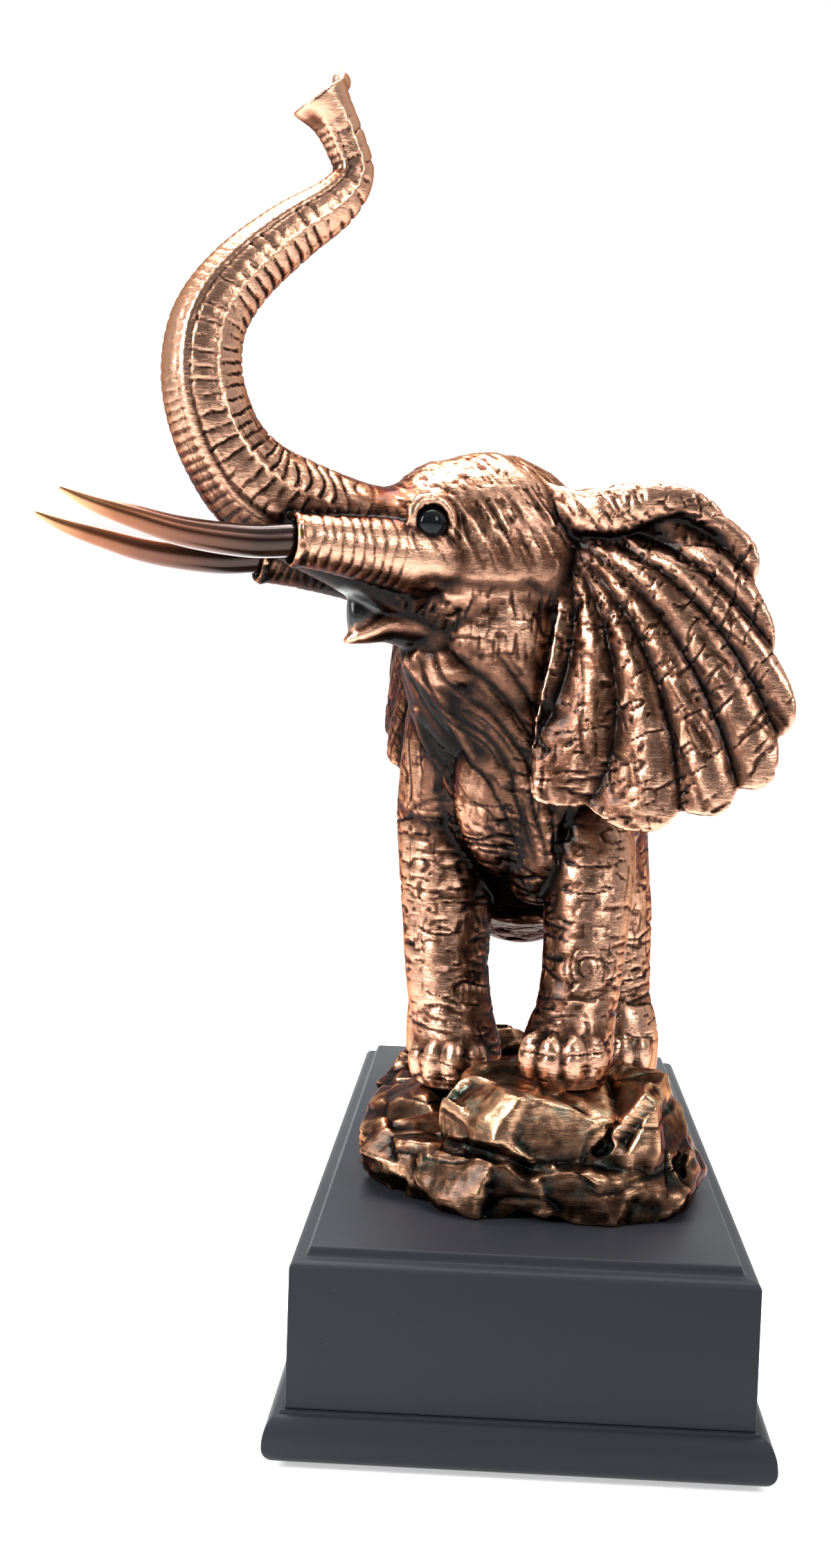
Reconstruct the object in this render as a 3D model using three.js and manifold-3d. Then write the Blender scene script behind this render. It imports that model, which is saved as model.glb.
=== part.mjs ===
// Bronze elephant with a raised trunk, standing on a rock, on a black moulded plinth.
// Millimetres, +Z up, origin at the centre of the plinth's underside. The elephant walks
// towards -Y and turns its head towards -X.
import * as THREE from 'three';
import { mergeVertices } from 'three/addons/utils/BufferGeometryUtils.js';
import { ConvexGeometry } from 'three/addons/geometries/ConvexGeometry.js';
import Module from 'manifold-3d';

const wasm = await Module();
wasm.setup();

// Plinth: a felt pad, a bullnose base moulding and a block with an ogee top edge.
const blockWidth = 140;
const blockLength = 318;
const blockHeight = 47.8;
const ogeeInset = 6.2;
const ogeeHeight = 5.3;
const baseHeight = 15;
const baseOverhang = 6.2;
const baseUndercut = 4.5;
const baseWidest = 5.2;
const ledgeInset = 1.6;
const ledgeHeight = 0.9;
const padThickness = 1.6;
const padInset = 4.5;

// Seam left between pieces that are set or glued on each other.
const seam = 0.3;

// Figure: its forms are drawn in millimetres of an elephant whose trunk tip stands
// 366 mm over the plinth, and grow with the height given here.
const figureHeight = 366;
const drawnHeight = 366;

// Head: turned from the body's axis, and its far side a little lower than its near side.
const headTurn = 68;
const headLean = 0.09;

// Tusks, which are glued into bores in the sheaths beside the trunk.
const tuskDiameter = 10.8;
const tuskFit = 0.35;
const tuskSeat = 20;
const sheathWall = 2.6;
const sheathRecess = 2.2;

// Ears: thickness of the casting and depth of the flutes at the edge.
const earThickness = 3;
const fluteDepth = 1.7;

const k = figureHeight / drawnHeight;
const baseTop = padThickness + seam + baseHeight;
const blockBottom = baseTop + seam;
const plinthTop = blockBottom + blockHeight;
const figureFoot = plinthTop + seam;

const across = new THREE.Vector3(1, 0, 0);
const upward = new THREE.Vector3(0, 0, 1);

// A point of the figure, from its drawn place.
const at = (x, y, z) => new THREE.Vector3(x * k, y * k, z * k + figureFoot);

// The head's own axes: forward along the face, left towards the near side, up.
const turn = THREE.MathUtils.degToRad(headTurn - 90);
const headCentre = [-48.5, -72];
const forward = new THREE.Vector3(-Math.cos(turn), Math.sin(turn), 0);
const leftward = new THREE.Vector3(-Math.sin(turn), -Math.cos(turn), 0);
const head = (ahead, left, high) =>
  at(headCentre[0] + forward.x * ahead + leftward.x * left,
    headCentre[1] + forward.y * ahead + leftward.y * left,
    high + headLean * left);

// Closed mesh from points and triangles.
function meshOf(points, triangles) {
  const geometry = new THREE.BufferGeometry();
  const values = new Float32Array(points.length * 3);
  points.forEach((point, i) => point.toArray(values, 3 * i));
  geometry.setAttribute('position', new THREE.BufferAttribute(values, 3));
  geometry.setIndex(triangles.flat());
  return geometry;
}

// Solid for joining and cutting.
function solid(geometry) {
  const bare = geometry.clone();
  bare.deleteAttribute('normal');
  bare.deleteAttribute('uv');
  const merged = mergeVertices(bare, 1e-5);
  const vertProperties = new Float32Array(merged.attributes.position.array);
  const triVerts = new Uint32Array(merged.index.array);
  const mesh = new wasm.Mesh({ numProp: 3, vertProperties, triVerts });
  return new wasm.Manifold(mesh);
}

// Geometry of a joined or cut solid.
function geometryOf(manifold) {
  const { numProp, vertProperties, triVerts } = manifold.getMesh();
  const geometry = new THREE.BufferGeometry();
  const values = new Float32Array((vertProperties.length / numProp) * 3);
  for (let i = 0; i < values.length / 3; i += 1) {
    for (let axis = 0; axis < 3; axis += 1) values[3 * i + axis] = vertProperties[numProp * i + axis];
  }
  geometry.setAttribute('position', new THREE.BufferAttribute(values, 3));
  geometry.setIndex(new THREE.BufferAttribute(new Uint32Array(triVerts), 1));
  return geometry;
}

const joined = (solids) => solids.reduce((whole, piece) => whole.add(piece));

// A limb: oval sections strung on a smooth line through its stations. A station is a centre,
// a half width and a half depth. The width runs along the side direction, or level where no
// side is given. Both ends are domed.
function limb(stations, { side, sides = 12, steps = 2, relief = () => 1, domes = [0.5, 0.5] } = {}) {
  const centres = new THREE.CatmullRomCurve3(stations.map(([centre]) => centre), false, 'catmullrom');
  const halves = new THREE.CatmullRomCurve3(
    stations.map(([, width, depth]) => new THREE.Vector3(width * k, depth * k, 0)), false, 'catmullrom');
  const count = (stations.length - 1) * steps;
  const rings = [];
  for (let i = 0; i <= count; i += 1) {
    const t = i / count;
    rings.push({ i, centre: centres.getPoint(t), half: halves.getPoint(t), tangent: centres.getTangent(t) });
  }
  const dome = (ring, depth, sign) => [1 / 3, 2 / 3].map((part) => {
    const angle = part * Math.PI / 2;
    return {
      ...ring,
      centre: ring.centre.clone().addScaledVector(ring.tangent, sign * depth * ring.half.y * Math.sin(angle)),
      half: ring.half.clone().multiplyScalar(Math.cos(angle)),
    };
  });
  const tip = (ring, depth, sign) =>
    ring.centre.clone().addScaledVector(ring.tangent, sign * depth * ring.half.y);
  const first = rings[0];
  const last = rings[count];
  const all = [...dome(first, domes[0], -1).reverse(), ...rings, ...dome(last, domes[1], 1)];
  const points = [];
  for (const { i, centre, half, tangent } of all) {
    const wide = side
      ? side.clone().addScaledVector(tangent, -side.dot(tangent)).normalize()
      : tangent.clone().cross(upward).normalize();
    const deep = tangent.clone().cross(wide);
    for (let j = 0; j < sides; j += 1) {
      const angle = (2 * Math.PI * j) / sides;
      const grow = relief(i, angle);
      points.push(centre.clone()
        .addScaledVector(wide, half.x * grow * Math.cos(angle))
        .addScaledVector(deep, half.y * grow * Math.sin(angle)));
    }
  }
  const bottom = points.length;
  points.push(tip(first, domes[0], -1), tip(last, domes[1], 1));
  const triangles = [];
  for (let j = 0; j < sides; j += 1) {
    const next = (j + 1) % sides;
    for (let i = 0; i < all.length - 1; i += 1) {
      const low = i * sides;
      const high = low + sides;
      triangles.push([low + j, low + next, high + next], [low + j, high + next, high + j]);
    }
    const top = (all.length - 1) * sides;
    triangles.push([bottom, next, j], [bottom + 1, top + j, top + next]);
  }
  return solid(meshOf(points, triangles));
}

// Ball-like form with three half sizes, turned about the vertical.
function lump(centre, [x, y, z], { spin = 0 } = {}) {
  const ball = new THREE.SphereGeometry(1, 7, 4);
  ball.rotateX(Math.PI / 2);
  ball.scale(x * k, y * k, z * k);
  ball.rotateZ(spin);
  ball.translate(centre.x, centre.y, centre.z);
  return solid(ball);
}

// Body: barrel from chest to rump, deepest behind the shoulders, with the groin hanging low.
function body() {
  const barrel = [
    [-60, 134, 26, 36], [-46, 138, 37, 50], [-26, 142, 45, 61], [6, 142, 47, 62], [36, 136, 47.5, 62],
    [64, 131, 47, 65], [84, 126.5, 44.5, 66.5], [102, 124.5, 40, 61.5], [118, 124, 33, 50], [131, 125, 24, 35],
    [140, 126.5, 14, 20.5],
  ];
  return limb(barrel.map(([y, z, width, depth]) => [at(-3, y, z), width, depth]),
    { sides: 16, steps: 1, domes: [0.5, 0.25] });
}

// Neck: from between the shoulders to the back of the turned head.
function neck() {
  return limb([
    [at(3, 16, 148), 40, 50], [at(-3, -4, 152), 38, 47], [at(-10, -24, 161), 34, 43],
    [at(-17, -42, 174), 29, 39], [at(-24, -58, 190), 25, 34],
  ], { steps: 1 });
}

// Throat: slack skin that narrows from the jaw down to the chest between the forelegs.
function throat() {
  return limb([
    [at(-32, -66, 190), 17, 18], [at(-21, -61, 172), 22, 21], [at(-11, -58, 153), 24, 19],
    [at(-5, -57, 133), 22, 16], [at(-2, -58, 115), 19, 11], [at(0, -54, 98), 13, 7],
  ], { side: leftward, steps: 1 });
}

// Jowl: carries the cheek down into the throat.
function jowl() {
  return limb([
    [head(-34, 8, 200), 19, 23], [head(-33, 6, 185), 21.5, 24], [at(-12.5, -61.5, 166), 21, 21],
    [at(-9.5, -60, 150), 19, 17],
  ], { side: leftward, sides: 10, steps: 1 });
}

// Shoulder: fills the far side of the neck above the right foreleg.
function shoulder() {
  return limb([
    [at(-23, -42, 178), 15, 14], [at(-27, -42, 162), 17, 16], [at(-30, -38, 145), 17.6, 19],
    [at(-31, -32, 128), 18, 20],
  ], { side: across, sides: 10, steps: 1 });
}

// Folds: ridges of skin that run from the jaw and cheek together at the foot of the throat.
const foldLines = [
  [[-44, -73, 176], [-34.5, -77.5, 166.5], [-26.6, -74, 154.2], [-19.5, -73.4, 142], [-12, -74, 128], [-5.5, -71, 113]],
  [[-41, -76, 178], [-30.4, -79.4, 169.2], [-21, -79.6, 162.2], [-14, -79, 154]],
  [[-39.5, -66, 161], [-37.5, -58, 150], [-31, -56, 138], [-20.5, -66, 123.1], [-11.9, -65.6, 111.7]],
];
function folds() {
  return foldLines.map((line) => limb(
    line.map(([x, y, z], i) => [at(x, y + 1.6, z), 4 - 0.35 * i, 4 - 0.35 * i]),
    { side: leftward, sides: 5, steps: 1 }));
}

// Skull: long dome of the crown, cheeks and the root of the trunk.
function skull() {
  return limb([
    [head(-60, 0, 210.5), 23, 23],
    [head(-50, 0, 210.5), 28, 31],
    [head(-38, 0, 210.5), 29, 35.5],
    [head(-24, 0, 211), 28.5, 35.5],
    [head(-10, 0, 212), 27, 31],
    [head(3, 0, 212.5), 24.5, 23.5],
    [head(16, 0, 215), 21, 17.5],
  ], { sides: 14, steps: 1 });
}

// Trunk: rises forward, sweeps back overhead and ends in a flared, upturned mouth.
function trunk() {
  const path = [
    [4, 212, 22, 21], [19, 216.8, 20, 18], [35, 222.6, 17.5, 17.2], [50.5, 230, 15.8, 16.4],
    [61.8, 242.5, 14.2, 14.4], [68, 257, 13.4, 13.6], [69.6, 270.6, 12.8, 13], [66.6, 284.5, 12, 12.2],
    [56.8, 298.6, 11, 11.2], [41.6, 312.6, 9.6, 9.9], [27, 323.8, 8, 8.2], [20.8, 333.6, 6.8, 6.8],
    [24, 343.4, 6.8, 7], [28.4, 351, 7.6, 7.8], [33.4, 357.2, 9.2, 10.4],
  ];
  const rings = (i) => 1 + (i % 2 ? 0.03 : -0.03);
  const pipe = limb(path.map(([ahead, high, width, depth]) => [head(ahead, 0, high), width, depth]),
    { side: leftward, sides: 8, steps: 4, relief: rings, domes: [0.5, 0.12] });
  const finger = lump(head(25.8, 0, 362.6), [3, 4, 3.4], { spin: turn });
  return pipe.add(finger);
}

// Funnel of the trunk's open mouth, to be cut out.
function nostril() {
  return limb([
    [head(28.5, 0, 350), 3, 3],
    [head(31.5, 0, 354), 5.5, 5.6],
    [head(35, 0, 358.3), 7.6, 8.1],
    [head(39, 0, 363), 10, 10],
  ], { side: leftward, sides: 10, steps: 1 });
}

// Tusk: a curved horn whose base sits in the sheath. sideways is +1 on the near side.
const tuskSideways = 21;
const tuskSpread = 0.05;
const tuskLine = [
  [41.5, 210.8, 1], [58, 209.6, 0.97], [79, 211.2, 0.86], [96, 215, 0.68], [109, 218.6, 0.45], [117.5, 221.9, 0.14],
];
function tusk(sideways) {
  const radius = tuskDiameter / 2 / k;
  const [front, high] = tuskLine[0];
  const seated = [front - tuskSeat / k, high + 0.6, 1];
  const stations = [seated, ...tuskLine].map(([ahead, up, share]) =>
    [head(ahead, sideways * (tuskSideways + tuskSpread * (ahead - front)), up), radius * share, radius * share]);
  return limb(stations, { sides: 10, steps: 1, domes: [0.1, 0.9] });
}

// Sheath: the ringed sleeve of skin that a tusk grows out of.
function sheath(sideways) {
  const outer = (tuskDiameter / 2 + tuskFit + sheathWall) / k;
  const place = (ahead, up, inward) => head(ahead, sideways * (tuskSideways - inward), up);
  const rings = (i) => 1 + (i % 2 ? 0.025 : -0.025);
  return limb([
    [place(-2, 207.5, 5), outer + 4.5, outer + 5],
    [place(10, 208.5, 2.5), outer + 3, outer + 3.2],
    [place(24, 209.6, 1), outer + 1.4, outer + 1.6],
    [place(36, 210.4, 0), outer + 0.4, outer + 0.4],
    [place(44, 210.8, 0), outer + 0.2, outer + 0.2],
  ], { sides: 8, steps: 3, relief: rings, domes: [0.4, 0.06] });
}

// Bore for the tusk in its sheath, with a wider recess round the tusk at the sheath's rim.
function bore(sideways) {
  const radius = (tuskDiameter / 2 + tuskFit) / k;
  const wide = radius + 1.1;
  const [front, high] = tuskLine[0];
  const place = (ahead, up) => head(ahead, sideways * (tuskSideways + tuskSpread * (ahead - front)), up);
  const deep = front - tuskSeat / k - seam / k - 1;
  const sleeve = limb([
    [place(deep, high + 0.6), radius, radius],
    [place(front, high), radius, radius],
    [place(front + 16, high - 1), radius, radius],
  ], { sides: 12, steps: 1, domes: [0.1, 0.1] });
  const recess = limb([
    [place(44.5 - sheathRecess / k, high), wide, wide],
    [place(60, high - 1), wide, wide],
  ], { sides: 12, steps: 1, domes: [0.1, 0.1] });
  return sleeve.add(recess);
}

// Lower jaw with its pointed lip, and the tongue and palate that fill the open mouth.
function jaw() {
  const lip = limb([
    [head(-26, 0, 190), 18, 15],
    [head(-10, 0, 188.5), 15, 10.5],
    [head(4, 0, 187.6), 10.5, 6.6],
    [head(12, 0, 184.2), 6.5, 3.6],
    [head(18.5, 0, 181.6), 2.6, 1.2],
  ], { sides: 10, steps: 1 });
  const filling = limb([
    [head(-6, 0, 192), 8, 6],
    [head(5, 0, 191), 7, 7],
    [head(12, 0, 190), 6, 7.4],
    [head(17, 0, 189.5), 3.6, 7.4],
  ], { sides: 8, steps: 1, domes: [0.3, 0.15] });
  return lip.add(filling);
}

// Eye: the ball, with the brow arch over it.
function eye(sideways) {
  const ball = lump(head(-1, sideways * 23.6, 218.2), [5.8, 5.4, 5.2], { spin: turn });
  const brow = limb([-10, 40, 90, 140, 185].map((angle) => {
    const a = THREE.MathUtils.degToRad(angle);
    return [head(-1 - 7.4 * Math.cos(a), sideways * (25.6 - 1.6 * Math.sin(a)), 218.4 + 7.8 * Math.sin(a)), 2.3, 2.3];
  }), { side: leftward, sides: 6, steps: 1 });
  return ball.add(brow);
}

// Ear: a fluted fan of skin from its root to a scalloped edge, its top rim rolled forward.
// Outline points are places outward from and above the root.
const earEdge = [
  [-6, 19.5], [10, 21.5], [26, 22.9], [43.7, 17], [57, 3.5], [61.5, -14], [68, -32], [72.4, -47.7], [70.5, -61],
  [64, -72.5], [53.5, -79.5], [37, -86], [21.8, -87.8], [3.1, -83], [-9.5, -78], [-10, -60], [-7, -40],
  [-4.5, -14],
];
const fluteCount = 10;
const fluteBow = 6;
const earSpokes = 30;
const earRows = 3;
function ear({ root, out, front, bulge, splay }) {
  const edge = new THREE.CatmullRomCurve3(earEdge.map(([x, y]) => new THREE.Vector3(x, y, 0)), false, 'catmullrom');
  const attach = new THREE.LineCurve3(new THREE.Vector3(-5, 15, 0), new THREE.Vector3(-2, -8, 0));
  const half = earThickness / 2 / k;
  const place = (x, y, depth) => root.clone()
    .addScaledVector(out, x * k).addScaledVector(upward, y * k).addScaledVector(front, depth * k);
  const points = [];
  for (const face of [1, -1]) {
    for (let i = 0; i <= earSpokes; i += 1) {
      const v = i / earSpokes;
      const rim = edge.getPointAt(v);
      const foot = attach.getPoint(v);
      const wave = Math.cos(2 * Math.PI * fluteCount * v);
      for (let j = 0; j <= earRows; j += 1) {
        const s = j / earRows;
        const reach = s * (1 + 0.022 * wave * s);
        const bow = fluteBow * Math.sin(Math.PI * s) * Math.max(0, Math.sin(Math.PI * Math.min(1, 1.5 * v)));
        const x = foot.x + (rim.x - foot.x) * reach + 0.6 * bow;
        const y = foot.y + (rim.y - foot.y) * reach + 0.8 * bow;
        const depth = bulge * Math.sin(Math.PI * Math.min(1, Math.max(0, x / 74)))
          - splay * y + fluteDepth * wave * Math.sqrt(s) + face * half * (1 - 0.35 * s);
        points.push(place(x, y, depth));
      }
    }
  }
  const sheet = (earSpokes + 1) * (earRows + 1);
  const at2 = (face, i, j) => (face ? sheet : 0) + i * (earRows + 1) + j;
  const handed = Math.sign(out.clone().cross(upward).dot(front));
  const triangles = [];
  const quad = (a, b, c, d) => {
    if (handed > 0) triangles.push([a, b, c], [a, c, d]);
    else triangles.push([a, c, b], [a, d, c]);
  };
  for (let i = 0; i < earSpokes; i += 1) {
    for (let j = 0; j < earRows; j += 1) {
      quad(at2(0, i, j), at2(0, i + 1, j), at2(0, i + 1, j + 1), at2(0, i, j + 1));
      quad(at2(1, i, j), at2(1, i, j + 1), at2(1, i + 1, j + 1), at2(1, i + 1, j));
    }
    quad(at2(0, i, earRows), at2(0, i + 1, earRows), at2(1, i + 1, earRows), at2(1, i, earRows));
    quad(at2(0, i + 1, 0), at2(0, i, 0), at2(1, i, 0), at2(1, i + 1, 0));
  }
  for (let j = 0; j < earRows; j += 1) {
    quad(at2(0, 0, j), at2(0, 0, j + 1), at2(1, 0, j + 1), at2(1, 0, j));
    quad(at2(0, earSpokes, j + 1), at2(0, earSpokes, j), at2(1, earSpokes, j), at2(1, earSpokes, j + 1));
  }
  const fan = solid(meshOf(points, triangles));
  const roll = limb([
    [place(-12, 14, -4), 9, 4],
    [place(0, 13, 1), 7.5, 4],
    [place(14, 13.5, 3), 8, 4],
    [place(25, 16, 3.5), 6.5, 3.6],
    [place(36, 16.6, 3), 4.6, 3],
    [place(44, 15, 2), 2, 1.8],
  ], { side: upward, sides: 6, steps: 1 });
  return fan.add(roll);
}

// Directions level with the ground, by their angle from +X towards +Y.
const level = (angle) => {
  const a = THREE.MathUtils.degToRad(angle);
  return new THREE.Vector3(Math.cos(a), Math.sin(a), 0);
};
const nearEar = { root: head(-52, 27, 211), out: level(-14), front: level(-104), bulge: 5, splay: 0.13 };
const farEar = { root: head(-44, -26, 221), out: level(119), front: level(209), bulge: 9, splay: 0.08 };

// Legs: each from inside the body down to its sole. The two near the viewer are the forelegs.
const legs = {
  leftFore: [
    [8, -30, 168, 14, 20], [12, -42, 148, 18, 23], [15, -51, 128, 17.4, 20], [18.5, -61, 110, 16.2, 17],
    [18.2, -68, 92, 14.8, 15], [17.4, -73, 76, 13.9, 14], [15.6, -77, 62, 13.6, 14], [13.4, -81, 51, 15.2, 15.6],
    [12, -83, 43, 15.4, 16], [12, -83, 38, 14.6, 15.4],
  ],
  rightFore: [
    [-22, -14, 170, 14, 20], [-28, -23, 148, 19, 24], [-31.5, -28, 125, 18, 20], [-31, -32, 104, 17, 17.5],
    [-30, -35, 84, 16, 15.5], [-29.2, -38, 66, 15, 15], [-26.6, -41, 50, 14.8, 15.6], [-24.3, -43, 37, 15.6, 16],
    [-24.3, -43, 27.3, 14.8, 15.4],
  ],
  leftHind: [
    [12, 72, 160, 14, 20], [16.5, 74, 142, 22, 30], [21.5, 76, 126, 24, 33], [28, 79, 108, 21.5, 28.5],
    [34.5, 82, 88, 16.6, 21], [37.8, 84, 72, 14.4, 16.5],
    [38.2, 84, 56, 14.2, 15], [38.8, 82, 38, 14.2, 15], [40.8, 78.6, 24, 15.6, 16.2], [40.8, 78.6, 9.3, 15.4, 15.8],
  ],
  rightHind: [
    [-15, 88, 160, 14, 20], [-19.5, 90, 142, 22, 29], [-24.5, 93, 126, 23, 31], [-30, 96, 108, 21, 27.5],
    [-34, 100, 88, 16.2, 20], [-35.3, 102, 72, 14, 16],
    [-35.3, 102, 56, 13.6, 14.6], [-35, 100, 38, 13.6, 14.6], [-34.2, 96.6, 24, 15.2, 15.8], [-34.2, 96.6, 9.3, 15, 15.4],
  ],
};
const soleOf = (stations) => stations[stations.length - 1];
function leg(stations) {
  return limb(stations.map(([x, y, z, width, depth]) => [at(x, y, z), width, depth]),
    { side: across, sides: 10, steps: 1, domes: [0.4, 0.01] });
}

// Toes: a row of rounded knuckles and nails round the front of a foot, which stand out of it.
const toeSpacing = 33;
const toeSize = [4.9, 5.2, 8.6];
const toeOut = 2.6;
function toes(stations, count, facing = 0) {
  const [x, y, z, width, depth] = soleOf(stations);
  return Array.from({ length: count }, (_, i) => {
    const a = THREE.MathUtils.degToRad(facing + toeSpacing * (i - (count - 1) / 2));
    const inward = toeOut - toeSize[1];
    const spot = at(x + (width + inward) * Math.sin(a), y - (depth + inward) * Math.cos(a), z + toeSize[2]);
    return lump(spot, toeSize, { spin: a });
  });
}

// Tail: hangs behind the rump and ends in a tuft.
function tail() {
  return limb([
    [at(-3, 122, 170), 6, 6], [at(-3, 136, 158), 4, 4], [at(-4, 141, 138), 3, 3], [at(-6, 142, 116), 2.5, 2.5],
    [at(-8, 140, 98), 3.2, 3.2], [at(-9, 138, 84), 1.6, 1.6],
  ], { side: across, sides: 6, steps: 1 });
}

function elephant() {
  const whole = joined([
    body(), neck(), throat(), jowl(), shoulder(), ...folds(), skull(), trunk(), jaw(), tail(),
    sheath(1), sheath(-1), eye(1), eye(-1), ear(nearEar), ear(farEar),
    ...Object.values(legs).map(leg),
    ...toes(legs.leftFore, 4, -6), ...toes(legs.rightFore, 4, -20), ...toes(legs.leftHind, 3), ...toes(legs.rightHind, 3),
  ]);
  return whole.subtract(nostril()).subtract(bore(1)).subtract(bore(-1));
}

// Repeatable scatter between -0.5 and 0.5.
const scatter = (seed) => {
  const value = Math.sin(seed * 12.9898) * 43758.5453;
  return value - Math.floor(value) - 0.5;
};

// Boulder: the angular hull of points spread over a ball.
function boulder([x, y, z, width, depth, height, spin], index) {
  const corners = 13;
  const points = Array.from({ length: corners }, (_, i) => {
    const seed = 31.7 * index + i;
    const rise = 1 - (2 * i + 1) / corners + 0.16 * scatter(seed);
    const a = 2.4 * i + 0.9 * scatter(seed + 0.4);
    const round = Math.sqrt(Math.max(0, 1 - rise * rise)) ** 0.7;
    const reach = 1 + 0.12 * scatter(seed + 0.8);
    return new THREE.Vector3(round * reach * Math.cos(a), round * reach * Math.sin(a), rise * reach);
  });
  const hull = new ConvexGeometry(points);
  hull.scale(width * k, depth * k, height * k);
  hull.rotateZ(THREE.MathUtils.degToRad(spin));
  hull.translate(x * k, y * k, z * k + figureFoot);
  return solid(hull);
}

// Boulders: centre, half sizes and spin in degrees.
const boulders = [
  [3, -91, 28, 34, 27, 17, 6], [36, -86, 22, 18, 28, 24, -10], [-34, -80, 8, 24, 26, 15, 24],
  [-12, -98, 7, 30, 22, 16, -8], [22, -100, 7, 34, 22, 16, 4], [46, -62, 6, 14, 40, 17, 6],
  [-28, -42, 13, 26, 26, 15, -15], [-44, -40, 5, 16, 34, 14, 6], [8, -50, 8, 34, 40, 16, 10],
  [-42, 6, 3, 17, 34, 12, 4], [44, 0, 4, 15, 40, 13, -5], [0, 6, 2, 44, 50, 11, 20],
  [-38, 52, 2, 20, 34, 10, 10], [38, 70, 2, 21, 44, 12, 8], [-34, 94, 1, 24, 26, 11, -6],
  [2, 84, 1, 40, 38, 9, 30], [-20, 123, 2, 33, 12, 15.5, 4], [20, 118, 1, 28, 14, 12, -8],
  [4, -84, 14, 35, 25, 14, 10],
];

// Space that a foot and its toes take in the rock.
function footprint(stations) {
  const [x, y, z, width, depth] = soleOf(stations);
  const room = seam / k;
  const [wide, long] = [width + toeOut + 3 * room, depth + toeOut + 3 * room];
  return limb([[at(x, y, z - room), wide, long], [at(x, y, z + 30), wide, long]],
    { side: across, sides: 14, steps: 1, domes: [0.01, 0.01] });
}

function rock() {
  const pile = joined(boulders.map(boulder));
  const floor = new THREE.BoxGeometry(4 * blockWidth, 4 * blockLength, 2 * figureFoot);
  const cut = joined([solid(floor), ...Object.values(legs).map(footprint)]);
  return pile.subtract(cut);
}

// Moulded slab: level rings with mitred corners. A profile point is an overhang and a height.
function moulded(width, length, profile) {
  const points = [];
  const corners = [[-1, -1], [1, -1], [1, 1], [-1, 1]];
  for (const [over, z] of profile) {
    for (const [x, y] of corners) points.push(new THREE.Vector3(x * (width / 2 + over), y * (length / 2 + over), z));
  }
  const triangles = [[0, 2, 1], [0, 3, 2]];
  for (let i = 0; i < profile.length - 1; i += 1) {
    for (let j = 0; j < 4; j += 1) {
      const [a, b] = [4 * i + j, 4 * i + ((j + 1) % 4)];
      triangles.push([a, b, b + 4], [a, b + 4, a + 4]);
    }
  }
  const top = 4 * (profile.length - 1);
  triangles.push([top, top + 1, top + 2], [top, top + 2, top + 3]);
  return meshOf(points, triangles);
}

// Block: plain faces and an ogee round its top edge.
function plinthBlock() {
  const ogee = [
    [0, 0], [0.04, 0.09], [0.15, 0.23], [0.32, 0.34], [0.52, 0.39], [0.69, 0.45], [0.8, 0.6], [0.86, 0.8],
    [0.92, 0.94], [1, 1],
  ];
  const start = plinthTop - ogeeHeight;
  return moulded(blockWidth, blockLength,
    [[0, blockBottom], ...ogee.map(([inward, rise]) => [-inward * ogeeInset, start + rise * ogeeHeight])]);
}

// Base moulding: a bullnose that curls in below and ends above in a small ledge.
function plinthBase() {
  const bottom = padThickness + seam;
  const arcSteps = 7;
  const profile = [];
  for (let i = 0; i <= arcSteps; i += 1) {
    const a = (Math.PI / 2) * (i / arcSteps);
    profile.push([baseOverhang - baseUndercut * (1 - Math.sin(a)), bottom + baseWidest * (1 - Math.cos(a))]);
  }
  const shoulder = baseHeight - ledgeHeight - baseWidest;
  for (let i = 1; i <= arcSteps; i += 1) {
    const a = (Math.PI / 2) * (i / arcSteps);
    const inward = (baseOverhang - ledgeInset) * (1 - Math.cos(a));
    profile.push([baseOverhang - inward, bottom + baseWidest + shoulder * Math.sin(a)]);
  }
  profile.push([ledgeInset - 0.3, baseTop]);
  return moulded(blockWidth, blockLength, profile);
}

function basePad() {
  const inset = 2 * (baseOverhang - baseUndercut - padInset);
  const pad = new THREE.BoxGeometry(blockWidth + inset, blockLength + inset, padThickness);
  pad.translate(0, 0, padThickness / 2);
  return pad;
}

const bronze = new THREE.MeshStandardMaterial({ color: 0x8a5436, roughness: 0.32, metalness: 0.9 });
const darkBronze = new THREE.MeshStandardMaterial({ color: 0x6d452f, roughness: 0.45, metalness: 0.85 });
const tuskCopper = new THREE.MeshStandardMaterial({ color: 0xb07a4e, roughness: 0.35, metalness: 0.8 });
const blackLacquer = new THREE.MeshStandardMaterial({ color: 0x1d1f24, roughness: 0.45, metalness: 0 });
const felt = new THREE.MeshStandardMaterial({ color: 0x16171a, roughness: 1, metalness: 0 });

const group = new THREE.Group();
function add(name, geometry, material) {
  const mesh = new THREE.Mesh(geometry, material);
  mesh.name = name;
  group.add(mesh);
}

add('base_pad', basePad(), felt);
add('plinth_base', plinthBase(), blackLacquer);
add('plinth_block', plinthBlock(), blackLacquer);
add('rock_base', geometryOf(rock()), darkBronze);
add('elephant', geometryOf(elephant()), bronze);
add('tusk_left', geometryOf(tusk(1)), tuskCopper);
add('tusk_right', geometryOf(tusk(-1)), tuskCopper);

export default group;
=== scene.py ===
"""Bronze elephant with a raised trunk on a rock and a black moulded plinth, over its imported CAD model."""
import math
import bmesh
import bpy
import numpy as np
from mathutils import Matrix, Vector, kdtree


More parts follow.
